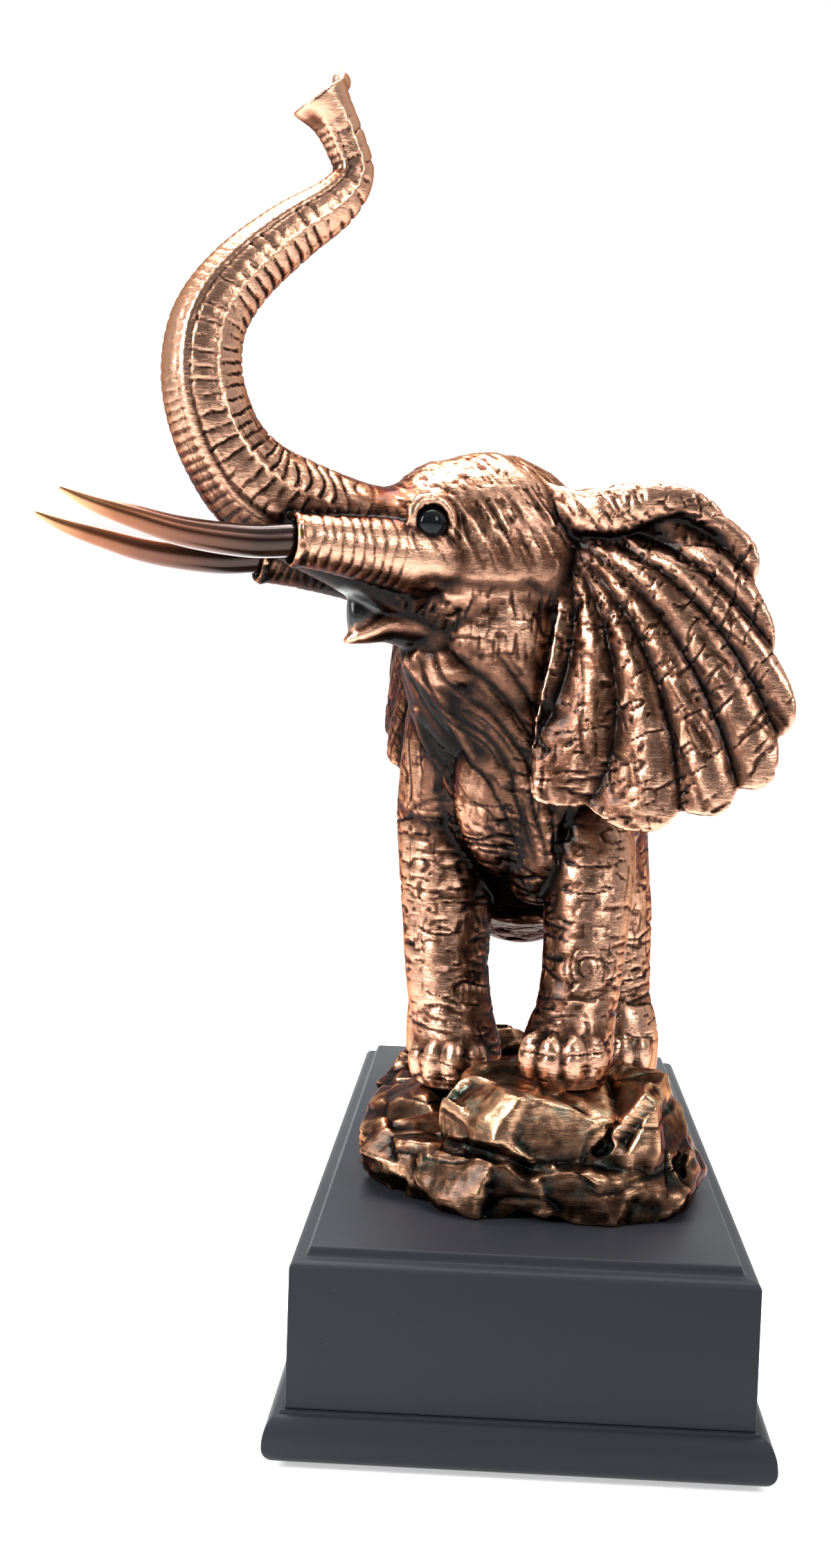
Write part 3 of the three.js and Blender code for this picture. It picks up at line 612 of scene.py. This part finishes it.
def sheath(sideways):
    """Rings of a sheath, on the near side where sideways is 1."""
    places = [(-22, 207, 9.5, 4.5, 5), (-3, 207.5, 5.2, 4.5, 5), (10, 208.5, 2.5, 3, 3.2),
              (24, 209.6, 1, 1.4, 1.6), (36, 210.4, 0, 0.4, 0.4), (44, 210.8, 0, 0.2, 0.2)]
    return [(head(a, sideways * (tusk_sideways - inward), u), sheath_outer + w, sheath_outer + d)
            for a, u, inward, w, d in places]


for sideways in (1, -1):
    forms.append(limb(sheath(sideways), None, 64, 90, (0.4, 0), mouth=sheath_mouth))

# Jaw with its pointed lip, and the dark inside of the open mouth.
forms.append(limb([(head(-26, 0, 190), 18, 15), (head(-10, 0, 188.5), 15, 10.5),
                   (head(4, 0, 187.6), 10.5, 6.6), (head(12, 0, 184.2), 6.5, 3.6),
                   (head(18.5, 0, 181.6), 2.6, 1.2)], None, 64, 70))
forms.append(limb([(head(-6, 0, 192), 8, 6), (head(5, 0, 191), 7, 7), (head(12, 0, 190), 6, 7.4),
                   (head(17, 0, 189.5), 3.6, 7.4)], None, 48, 40, (0.3, 0.15)))

# Eyes: a ball between a thick arched upper lid and a thin lower one.
eye_centres = [head(-1.2, side * 23.6, 218) for side in (1, -1)]
for side, centre in zip((1, -1), eye_centres):
    for arc, thick in (((-25, 20, 60, 95, 130, 165, 200), 2.2), ((-14, -45, -90, -135, -166), 1.3)):
        bends = [math.radians(a) for a in arc]
        line = [head(-1.2 - 7.1 * math.cos(a), side * (26.4 - 1.4 * abs(math.sin(a))),
                     218.4 + 7.1 * math.sin(a)) for a in bends]
        swell = [thick * (0.5 + 0.6 * math.sin(math.pi * (i + 1) / (len(arc) + 1))) for i in range(len(arc))]
        forms.append(limb([(place, size, size) for place, size in zip(line, swell)], leftward, 20, 50))

# Ears: fluted fans, thin at a scalloped edge, with the top rim rolled forward.
ear_edge = [(-6, 19.5), (10, 21.5), (26, 22.9), (43.7, 17), (57, 3.5), (61.5, -14), (68, -32), (72.4, -47.7),
            (70.5, -61), (64, -72.5), (53.5, -79.5), (37, -86), (21.8, -87.8), (3.1, -83), (-9.5, -78),
            (-10, -60), (-7, -40), (-4.5, -14)]
flute_count, flute_bow, flute_depth, flute_sweep, ear_thickness = 11, 6, 2.1, 0.13, 3


def level(degrees):
    """Direction level with the ground."""
    a = math.radians(degrees)
    return np.array([math.cos(a), math.sin(a), 0])


def ear(root, out, front, bulge, splay, spokes=420, rows=110):
    """Closed fan: two faces of a corrugated sheet and the roll along its top."""
    fine = catmull(ear_edge, np.linspace(0, 1, 4001))
    run = np.concatenate([[0], np.cumsum(np.linalg.norm(np.diff(fine, axis=0), axis=1))])
    v = np.linspace(0, 1, spokes + 1)
    rim = np.stack([np.interp(v * run[-1], run, fine[:, c]) for c in (0, 1)], 1)
    foot = np.stack([-5 + 3 * v, 15 - 23 * v], 1)
    s = np.linspace(0, 1, rows + 1)
    vv, ss = np.meshgrid(v, s, indexing="ij")
    wandering = 0.02 * np.sin(9 * vv + 2) + 0.012 * np.sin(23 * vv)
    ridge = 2 * np.abs(np.cos(math.pi * flute_count * (vv + wandering - flute_sweep * ss))) ** 0.7 - 1
    bow = flute_bow * np.sin(math.pi * ss) * np.maximum(0, np.sin(math.pi * np.minimum(1, 1.5 * vv)))
    reach = ss * (1 + 0.03 * ridge * ss ** 3)
    x = foot[:, None, 0] + (rim - foot)[:, None, 0] * reach + 0.6 * bow
    y = foot[:, None, 1] + (rim - foot)[:, None, 1] * reach + 0.8 * bow
    swell = flute_depth * ridge * np.sqrt(ss) * np.minimum(1, 6 * (1 - ss) + 0.55)
    under_roll = 4.4 * np.exp(-((y - 5) / 5.5) ** 2 - ((x - 28) / 21) ** 2)
    depth = bulge * np.sin(math.pi * np.clip(x / 74, 0, 1)) - splay * y + swell - under_roll

    def place(px, py, d):
        return root + px[..., None] * out + py[..., None] * upward + d[..., None] * front

    half = ear_thickness / 2 * (1 - 0.35 * ss)
    faces = [place(x, y, depth + sign * half).reshape(-1, 3) for sign in (1, -1)]
    points = np.vstack(faces)
    n, m = spokes + 1, rows + 1
    i, j = np.meshgrid(np.arange(spokes), np.arange(rows), indexing="ij")
    a = (i * m + j).ravel()
    quads = [np.stack([a, a + m, a + m + 1, a + 1], 1), np.stack([a, a + 1, a + m + 1, a + m], 1) + n * m]
    i, j, back = np.arange(spokes), np.arange(rows), n * m
    for u, v in ((i * m, (i + 1) * m), ((n - 1) * m + j, (n - 1) * m + j + 1),
                 ((i + 1) * m + rows, i * m + rows), (j + 1, j)):
        quads.append(np.stack([v, u, u + back, v + back], 1))
    quads = np.vstack(quads)
    triangles = np.vstack([quads[:, [0, 1, 2]], quads[:, [0, 2, 3]]])
    roll = [(-12, 14, -4, 9, 4), (0, 13, 1, 7.5, 4), (14, 13.5, 3, 8, 4), (25, 16, 3.5, 6.5, 3.6),
            (36, 16.6, 3, 4.6, 3), (44, 15, 2, 2, 1.8)]
    tube = limb([(root + a * out + b * upward + c * front, w, d) for a, b, c, w, d in roll], upward, 40, 70)
    return [(points, triangles), tube]


near_ear = dict(root=head(-52, 27, 211), out=level(-14), front=level(-104), bulge=5, splay=0.13)
far_ear = dict(root=head(-44, -26, 221), out=level(119), front=level(209), bulge=9, splay=0.08)
forms += ear(**near_ear) + ear(**far_ear)

# Legs: each from inside the body to its sole, with a row of rounded toes.
legs = {
    "left_fore": [(8, -30, 168, 14, 20), (12, -42, 148, 18, 23), (15, -51, 128, 17.4, 20),
                  (18.5, -61, 110, 16.2, 17), (18.2, -68, 92, 14.8, 15), (17.4, -73, 76, 13.9, 14),
                  (15.6, -77, 62, 13.6, 14), (13.4, -81, 51, 15.2, 15.6), (12, -83, 43, 15.4, 16),
                  (12, -83, 38, 14.6, 15.4)],
    "right_fore": [(-22, -14, 170, 14, 20), (-28, -23, 148, 19, 24), (-31.5, -28, 125, 18, 20),
                   (-31, -32, 104, 17, 17.5), (-30, -35, 84, 16, 15.5), (-29.2, -38, 66, 15, 15),
                   (-26.6, -41, 50, 14.8, 15.6), (-24.3, -43, 37, 15.6, 16), (-24.3, -43, 27.3, 14.8, 15.4)],
    "left_hind": [(12, 72, 160, 14, 20), (16.5, 74, 142, 22, 30), (21.5, 76, 126, 24, 33),
                  (28, 79, 108, 21.5, 28.5), (34.5, 82, 88, 16.6, 21),
                  (37.8, 84, 72, 14.4, 16.5), (38.2, 84, 56, 14.2, 15), (38.8, 82, 38, 14.2, 15),
                  (40.8, 78.6, 24, 15.6, 16.2), (40.8, 78.6, 9.3, 15.4, 15.8)],
    "right_hind": [(-15, 88, 160, 14, 20), (-19.5, 90, 142, 22, 29), (-24.5, 93, 126, 23, 31),
                   (-30, 96, 108, 21, 27.5), (-34, 100, 88, 16.2, 20),
                   (-35.3, 102, 72, 14, 16), (-35.3, 102, 56, 13.6, 14.6), (-35, 100, 38, 13.6, 14.6),
                   (-34.2, 96.6, 24, 15.2, 15.8), (-34.2, 96.6, 9.3, 15, 15.4)],
}
toe_rows = {"left_fore": (4, -6), "right_fore": (4, -20), "left_hind": (3, 0), "right_hind": (3, 0)}
toe_spacing, toe_size, toe_out = 33, (5, 5.4, 8.8), 3.5
for name, stations in legs.items():
    forms.append(limb([(at(x, y, z), w, d) for x, y, z, w, d in stations], across, 80, 130, (0.4, 0.01)))
    x, y, z, width, depth = stations[-1]
    count, facing = toe_rows[name]
    for i in range(count):
        a = math.radians(facing + toe_spacing * (i - (count - 1) / 2))
        inward = toe_out - toe_size[1]
        spot = at(x + (width + inward) * math.sin(a), y - (depth + inward) * math.cos(a), z + toe_size[2])
        forms.append(ball(spot, toe_size, -a))

elephant = fused(forms, voxel=0.8)
points, edges = arrays(elephant)
points = averaged(points, edges, 4)

# The haunches run softly into the flanks and rump.
flanks = (np.interp(points[:, 1], [-20, 10], [0, 1])
          * np.interp(points[:, 2] - figure_foot, [78, 100], [0, 1]) * (points[:, 1] < 134))[:, None]
points += flanks * (averaged(points, edges, 120, 0.9) - points)
normals = outward(elephant, points)


def along_and_round(places, stations, side=None, rings=500):
    """Distance in millimetres along a limb, angle round it, and distance from its axis over its half size."""
    centres, halves, tangents, wide, deep = sections(stations, rings, side)
    run = np.concatenate([[0], np.cumsum(np.linalg.norm(np.diff(centres, axis=0), axis=1))])
    along, angle, reach = np.empty(len(places)), np.empty(len(places)), np.empty(len(places))
    for first in range(0, len(places), 20000):
        part = slice(first, first + 20000)
        gaps = ((places[part, None, :] - centres[None, ::4]) ** 2).sum(2)
        nearest = gaps.argmin(1) * 4
        offset = places[part] - centres[nearest]
        along[part] = run[nearest] + np.einsum("ij,ij->i", offset, tangents[nearest])
        a = np.einsum("ij,ij->i", offset, wide[nearest]) / halves[nearest, 0]
        b = np.einsum("ij,ij->i", offset, deep[nearest]) / halves[nearest, 1]
        angle[part], reach[part] = np.arctan2(b, a), np.hypot(a, b)
    return along, angle, reach


def ramp(values, start, end):
    """Smooth step from 0 at start to 1 at end."""
    t = np.clip((values - start) / (end - start), 0, 1)
    return t * t * (3 - 2 * t)


high = points[:, 2] - figure_foot
in_head = points - at(*head_centre, 0)
ahead, left = in_head @ forward, in_head @ leftward
relief, shade = np.zeros(len(points)), np.zeros(len(points))


def grooves(places, width=0.12):
    """1 in narrow grooves at whole numbers, 0 between."""
    return np.exp(-((places - np.round(places)) / width) ** 2)


def dashes(places, sharpness, seed, share=0.1):
    """Broken lines: wandering creases that come and go."""
    return creases(places, sharpness, seed) * ramp(noise(places * 1.6 + 40, seed + 1), -share, 0.25)


# Trunk: two rows of staggered cuts over the side and back, a raised seam, and fine rings outside.
near_trunk = np.where((ahead > 4) & (high > 192) & (np.abs(left) < 26))[0]
along, angle, reach = along_and_round(points[near_trunk], trunk, leftward)
on_trunk = ramp(reach, 1.45, 1.15) * ramp(along, 12, 26) * ramp(along, 204, 190)
spot = points[near_trunk]
turned = np.sin(angle)
wander = noise(spot / 9, 11) * (0.9 + 2 * ramp(along, 70, 20)) + 0.5 * noise(spot / 3, 13)
side_row, back_row = ramp(turned, 0.2, 0.12) * ramp(turned, -0.56, -0.48), ramp(turned, 0.22, 0.3)
side_cut = side_row * grooves((along + wander) / 4.6, 0.1) * ramp(noise(spot / 4, 12), -0.6, 0.3)
back_cut = back_row * grooves((along + wander + 2.3) / 4.6, 0.11) * ramp(noise(spot / 4, 16), -0.7, 0.1)
fine_cut = ramp(turned, -0.6, -0.68) * grooves((along + 0.5 * wander) / 2.7, 0.16)
seam = 0.5 * np.exp(-((turned + 0.64) / 0.09) ** 2) - 0.3 * np.exp(-((turned + 0.5) / 0.05) ** 2)
shoulder_edge = 0.35 * np.exp(-((turned - 0.2) / 0.14) ** 2) * ramp(along, 30, 60)
along_lines = creases(np.stack([turned * 7, np.cos(angle) * 7, along / 22], 1), 0.1, 14) * ramp(along, 40, 60)
relief[near_trunk] += on_trunk * (seam + shoulder_edge - 0.6 * side_cut - 0.85 * back_cut - 0.25 * fine_cut
                                  - 0.12 * along_lines)
# Painted highlight: the upper trunk is made lighter towards its top.
shade[near_trunk] += 0.26 * ramp(high[near_trunk], 232, 290)

# Sheaths: fine rings, and a flare where they leave the cheek.
for sideways in (1, -1):
    near = np.where((ahead > 2) & (ahead < 46) & (high < 226) & (high > 190) & (left * sideways > 8))[0]
    along, angle, reach = along_and_round(points[near], sheath(sideways))
    inside = ramp(reach, 1.4, 1.15) * ramp(ahead[near], 4, 12) * ramp(reach, 0.6, 0.9)
    rings = (grooves((along + 1.3 * noise(points[near] / 8, 15)) / 3.3, 0.13)
             * ramp(noise(points[near] / 5, 17), -0.8, 0.2))
    collar = np.exp(-((ahead[near] - 42.8) / 1.2) ** 2) * (0.5 + 0.5 * noise(points[near] / 2, 18))
    relief[near] += inside * (collar - 0.32 * rings * ramp(ahead[near], 42, 40))
    # Painted shade: each sheath is made darker towards its mouth, round the tusk.
    shade[near] -= inside * 0.5 * ramp(ahead[near], 40.5, 42.5)

# Legs: creases that run level round the leg, finer ones between them, and a few upright cracks.
legs_here = ramp(high, 136, 118) * ramp(high, 16, 22)
x, y = points[:, 0], points[:, 1]
wave = noise(points / 12, 21) * 0.5
relief -= legs_here * (0.6 * dashes(np.stack([x / 16, y / 16, high / 3.8 + wave], 1), 0.11, 22, 0.3)
                       + 0.36 * dashes(np.stack([x / 8, y / 8, high / 2 + wave], 1), 0.16, 24, 0.1)
                       + 0.2 * dashes(np.stack([x / 3, y / 3, high / 9], 1), 0.14, 26, 0))
relief += legs_here * 0.1 * noise(np.stack([x / 9, y / 9, high / 3.4 + wave], 1), 28)
knee = np.hypot(x - 19, high - 77)
knee_rings = grooves(knee / 3.1 + 0.5 * noise(points / 5, 29)) * ramp(noise(points / 5, 30), -0.3, 0.3)
relief -= ramp(knee, 10, 8) * (y < -70) * (x > 0) * 0.3 * knee_rings

# Painted shade: the sides of the legs that face each other are made darker.
shade -= 0.3 * legs_here * ramp(-np.sign(x + 6) * normals[:, 0], 0.05, 0.75)

# Body, neck and crown: cracked skin, with upright wrinkles on the flanks.
body_here = ramp(high, 112, 128) * ramp(y, -72, -56)
relief -= body_here * (0.4 * dashes(np.stack([x / 5, y / 5, high / 17], 1), 0.1, 31, 0.1)
                       + 0.32 * dashes(np.stack([x / 13, y / 13, high / 4], 1), 0.12, 33, 0)
                       + 0.2 * dashes(points / 3.5, 0.16, 35, 0))
relief += body_here * 0.35 * noise(np.stack([x / 8, y / 8, high / 20], 1), 37)

# Throat: long folds that run down and back from the jaw and draw together at the chest.
near = np.where((high > 102) & (high < 188) & (y < -30) & (np.abs(x) < 60))[0]
along, angle, reach = along_and_round(points[near], throat, leftward)
draped = (np.degrees(angle) + 0.5 * along + 12 * noise(points[near] / 16, 45)) / 21
fold = np.abs(np.cos(math.pi * draped)) ** 0.55 - 0.62
on_throat = ramp(reach, 1.5, 1.25) * ramp(high[near], 106, 120) * ramp(high[near], 184, 172)
# Painted shade on the throat under the head.
shade[near] -= 0.2 * on_throat
throat_lines = dashes(np.stack([draped * 3, 0 * along, along / 16], 1), 0.2, 46)
relief[near] += on_throat * (0.8 * fold - 0.3 * throat_lines)

# Head: hair-like strokes on the crown, a crease under the cheekbone, and upright strokes on the cheek.
head_here = ramp(y, -46, -58) * ramp(high, 172, 184) * ramp(ahead, 14, 2) * ramp(ahead, -74, -62)
over, down = 0.85 * ahead - 0.5 * high, 0.5 * ahead + 0.85 * high
strokes = noise(np.stack([over / 1.9, left / 5, down / 12], 1), 41)
relief += head_here * ramp(high, 204, 218) * (0.4 * strokes - 0.4 * dashes(
    np.stack([over / 1.8, left / 4, down / 9], 1), 0.2, 48, 0.2))
# Painted highlight on the top of the crown.
shade += 0.16 * head_here * ramp(high, 216, 236)
cheek = head_here * ramp(np.abs(left), 12, 18)
bone = (np.exp(-((high - 200.5 - 1.2 * noise(points / 6, 43)) / 2) ** 2)
        * ramp(ahead, -46, -36) * ramp(ahead, 6, 0))
relief -= cheek * (0.6 * bone + 0.42 * ramp(high, 201, 197) * (
    dashes(np.stack([ahead / 2.1, left / 9, high / 7], 1), 0.22, 47, 0.4)
    + 0.7 * dashes(np.stack([ahead / 9, left / 9, high / 3.2], 1), 0.16, 49)))
# Painted light: the side of the face between the jaw and the eye is made lighter.
shade += 0.14 * (ramp(ahead, -42, -30) * ramp(ahead, 12, 4) * ramp(high, 181, 187) * ramp(high, 206, 200)
                 * ramp(np.abs(left), 5, 12))
pit = np.linalg.norm(points - [14, -89, 206 + figure_foot], axis=1)
relief -= 2.6 * np.exp(-(pit / 5) ** 2)

# Ears: short cuts across the flutes and fine lines along them.
for fan in (near_ear, far_ear):
    offset = points - fan["root"]
    ex, ey, ed = offset @ fan["out"], offset[:, 2], offset @ fan["front"]
    sheet = fan["bulge"] * np.sin(math.pi * np.clip(ex / 74, 0, 1)) - fan["splay"] * ey
    on_ear = ramp(np.abs(ed - sheet), 11, 8) * ramp(ex + np.maximum(0, -ey) * 0.3, 0, 7)
    on_ear = on_ear * (ex < 82) * (ey > -92) * (ey < 27)
    far_out, way = np.hypot(ex + 3, ey - 4), np.arctan2(ey - 4, ex + 3)
    cuts = dashes(np.stack([far_out / 2.3, way * 9, 0 * way], 1), 0.17, 51, -0.05)
    lines = dashes(np.stack([far_out / 16, way * 24 + far_out / 60, 0 * way], 1), 0.12, 53, 0.1)
    relief -= on_ear * (0.42 * cuts + 0.26 * lines * ramp(far_out, 12, 24))

points += normals * relief[:, None]
normals = outward(elephant, points)

# Inside of the mouth, painted black, and the tone of the plate over the whole, with painted light and shade
# in it.
gape = (ahead > 4) & (ahead < 22) & (np.abs(left) < 9)
roof = 196.5 - 0.13 * (18.5 - ahead)
floor_line = np.interp(ahead, [5.6, 19.9], [194.6, 183])
inner = ramp(high, floor_line - 0.5, floor_line + 1) * ramp(high, roof + 2.5, roof + 1)
store(elephant, "black", np.where(gape, inner, 0))
store(elephant, "damp", ramp(high, 44, 36) * 0.5)
bronze = plated_bronze("bronze_plate_on_skin", "#080504", "#2b1b14", "#5f4031", "#c2957c", green=0.3,
                       painted=True)
store(elephant, "shade", 0.5 + shade)
skin_triangles, piece_triangles = 388000, 199000
elephant = thinned(elephant, skin_triangles)
points, edges = arrays(elephant)
normals = outward(elephant, points)
shade = np.empty(len(points), np.float32)
elephant.attributes["shade"].data.foreach_get("value", shade)
# Patina darker in the small and middle hollows and lighter on ridges; painted light and shade over the broad
# forms, and painted shade on faces that look down.
patina_and_painted_shade = [stand_out(points, edges, normals, 4) / 0.75, stand_out(points, edges, normals, 30, 0.9) / 7,
          stand_out(points, edges, normals, 260, 0.9) / 15, -0.45 * ramp(-normals[:, 2], 0.2, 0.8)]
store(elephant, "proud_and_painted_light", 0.48 + sum(patina_and_painted_shade) + shade - 0.5)
front_half = (points[:, 1] < -47) & (points[:, 2] > figure_foot + 150) | (points[:, 2] > figure_foot + 205)
finished(["elephant_head", "elephant_body"], divided(elephant, front_half), piece_triangles, bronze,
         "bronze", ["elephant"])


# Eyes: balls of the casting between the lids, painted black under gloss varnish, so that they shine
# like glass beside the plate.
def eye_black():
    """Gloss black paint: nearly a mirror, with a faint depth of grey."""
    material, tree = new_material("glossy_black_eye")
    place = add_node(tree, "ShaderNodeTexCoord").outputs["Object"]
    tint = add_node(tree, "ShaderNodeMix", {"data_type": "RGBA", 6: linear("#050506"), 7: linear("#15161a")},
                    i0=cloudy(tree, place, 0.0008, 2.0))
    shader = add_node(tree, "ShaderNodeBsdfPrincipled", {"Roughness": 0.04, "Specular IOR Level": 0.15},
                      Base_Color=tint.outputs[2])
    finish_material(tree, shader)
    return material


eye_paint = eye_black()
for title, centre in zip(("eye_near", "eye_far"), eye_centres):
    piece(title, *ball(centre, (5.9, 5.6, 5.5), head_turn), eye_paint, "bronze", ["elephant"])


# Tusks: smooth turned and bent horns of satin copper, dark brown at the sheath and light at the tip.
# Each is glued into the bore of its sheath.
tusk_front, tusk_seat, tusk_run = 41.5, 20, 76
tusk_line = [(tusk_front, 210.8, 1), (58, 209.6, 0.97), (79, 211.2, 0.86), (96, 215, 0.68),
             (109, 218.6, 0.45), (117.5, 221.9, 0.14)]


def tusk_copper():
    """Buffed copper: satin and smooth, dark brown at the sheath and light at the tip."""
    material, tree = new_material("satin_copper_tusk")
    place = add_node(tree, "ShaderNodeTexCoord").outputs["Object"]
    along = attribute(tree, "along")
    shift = add_node(tree, "ShaderNodeMath", {"operation": "MULTIPLY_ADD", 1: 0.16, 2: -0.08},
                     i0=cloudy(tree, place, 0.012, 3.0))
    total = add_node(tree, "ShaderNodeMath", {"operation": "ADD"}, i0=along, i1=shift.outputs[0])
    stops = [(0.2, "#2b1a13"), (1.0, "#c08a60"), (0.5, "#583425"), (0.78, "#7a4a2f")]
    satin = {"Metallic": 0.9, "Roughness": 0.24, "Coat Weight": 0.4, "Coat Roughness": 0.15}
    tone = toned(tree, total.outputs[0], stops)
    shader = add_node(tree, "ShaderNodeBsdfPrincipled", satin, Base_Color=tone)
    finish_material(tree, shader)
    return material


copper = tusk_copper()
for side, node in ((1, "tusk_left"), (-1, "tusk_right")):
    seated = (tusk_front - tusk_seat, tusk_line[0][1] + 0.6, 1)
    line = [(head(a, side * (tusk_sideways + tusk_spread * (a - tusk_front)), u),
             tusk_radius * share, tusk_radius * share) for a, u, share in (seated, *tusk_line)]
    horn, triangles = limb(line, None, 40, 120, (0.1, 0.9))
    mesh = piece(node + "_copper", horn, triangles, copper, "tusk_copper", [node])
    reach = (horn - at(*head_centre, 0)) @ forward
    store(mesh, "along", (reach - tusk_front) / tusk_run)


# Camera: at the photograph's place, a little under the head's height and in front of the short face.
# Place in metres, angles in degrees.
camera_place = Vector((-0.01134, -0.72278, 0.24142))
pitch, yaw, roll = [math.radians(a) for a in (3.67, -2.62, -1.94)]
ahead_axis = Vector((math.sin(yaw) * math.cos(pitch), math.cos(yaw) * math.cos(pitch), -math.sin(pitch)))
right_axis = Vector((math.cos(yaw), -math.sin(yaw), 0))
down_axis = ahead_axis.cross(right_axis)
image_right = math.cos(roll) * right_axis + math.sin(roll) * down_axis
image_down = -math.sin(roll) * right_axis + math.cos(roll) * down_axis
camera_data = bpy.data.cameras.new("camera")
camera_data.lens = 44.5
camera_data.sensor_width = 36
camera = linked("camera", camera_data)
camera.matrix_world = Matrix.Translation(camera_place) @ Matrix(
    (image_right, -image_down, -ahead_axis)).transposed().to_4x4()
bpy.context.scene.camera = camera

# Studio: a pale floor, white surroundings behind and a darker room in front. Soft boxes hang above,
# to the left and, weaker, to the right.
floor_mesh = bpy.data.meshes.new("floor")
half_floor = 6.0
floor_corners = [(half_floor * x, half_floor * y, 0) for x, y in ((-1, -1), (1, -1), (1, 1), (-1, 1))]
floor_mesh.from_pydata(floor_corners, [], [(0, 1, 2, 3)])
floor_material, tree = new_material("white_acrylic_light_table")
finish_material(tree, add_node(tree, "ShaderNodeBsdfPrincipled", {
    "Base Color": linear("#f4f4f4"), "Roughness": 0.6,
    "Emission Color": linear("#ffffff"), "Emission Strength": 0.5}))
floor_mesh.materials.append(floor_material)
floor = linked("floor", floor_mesh)

world = bpy.data.worlds.new("studio")
world.use_nodes = True
bpy.context.scene.world = world
tree = world.node_tree
tree.nodes.clear()
toward = add_node(tree, "ShaderNodeTexCoord").outputs["Generated"]
parts = add_node(tree, "ShaderNodeSeparateXYZ", Vector=toward)
upper_back = add_node(tree, "ShaderNodeMath", {"operation": "MULTIPLY_ADD", 1: 0.7},
                      i0=parts.outputs["Z"], i2=parts.outputs["Y"])
brightness = add_node(tree, "ShaderNodeMapRange",
                      {"From Min": -0.35, "From Max": 0.75, "To Min": 0.13, "To Max": 1.12},
                      Value=upper_back.outputs[0])
glow = add_node(tree, "ShaderNodeBackground", {"Color": linear("#ffffff")}, Strength=brightness.outputs[0])
add_node(tree, "ShaderNodeOutputWorld", Surface=glow.outputs[0])


def soft_box(name, place, target, width, height, watts):
    """Rectangular lamp in metres, aimed at its target."""
    light = bpy.data.lights.new(name, "AREA")
    light.shape, light.size, light.size_y, light.energy = "RECTANGLE", width, height, watts
    lamp = linked(name, light)
    lamp.location = place
    lamp.rotation_mode = "QUATERNION"
    lamp.rotation_quaternion = (Vector(target) - Vector(place)).to_track_quat("-Z", "Y")


soft_box("soft_box_left", (-1.0, -0.7, 0.8), (0, 0, 0.25), 0.4, 0.7, 23)
soft_box("soft_box_right", (0.8, -0.8, 0.9), (0, 0, 0.2), 0.3, 0.5, 7)
soft_box("soft_box_top", (-0.2, 0.3, 1.35), (0, 0, 0.25), 0.9, 0.9, 44)
bpy.context.scene.view_settings.view_transform = "Standard"
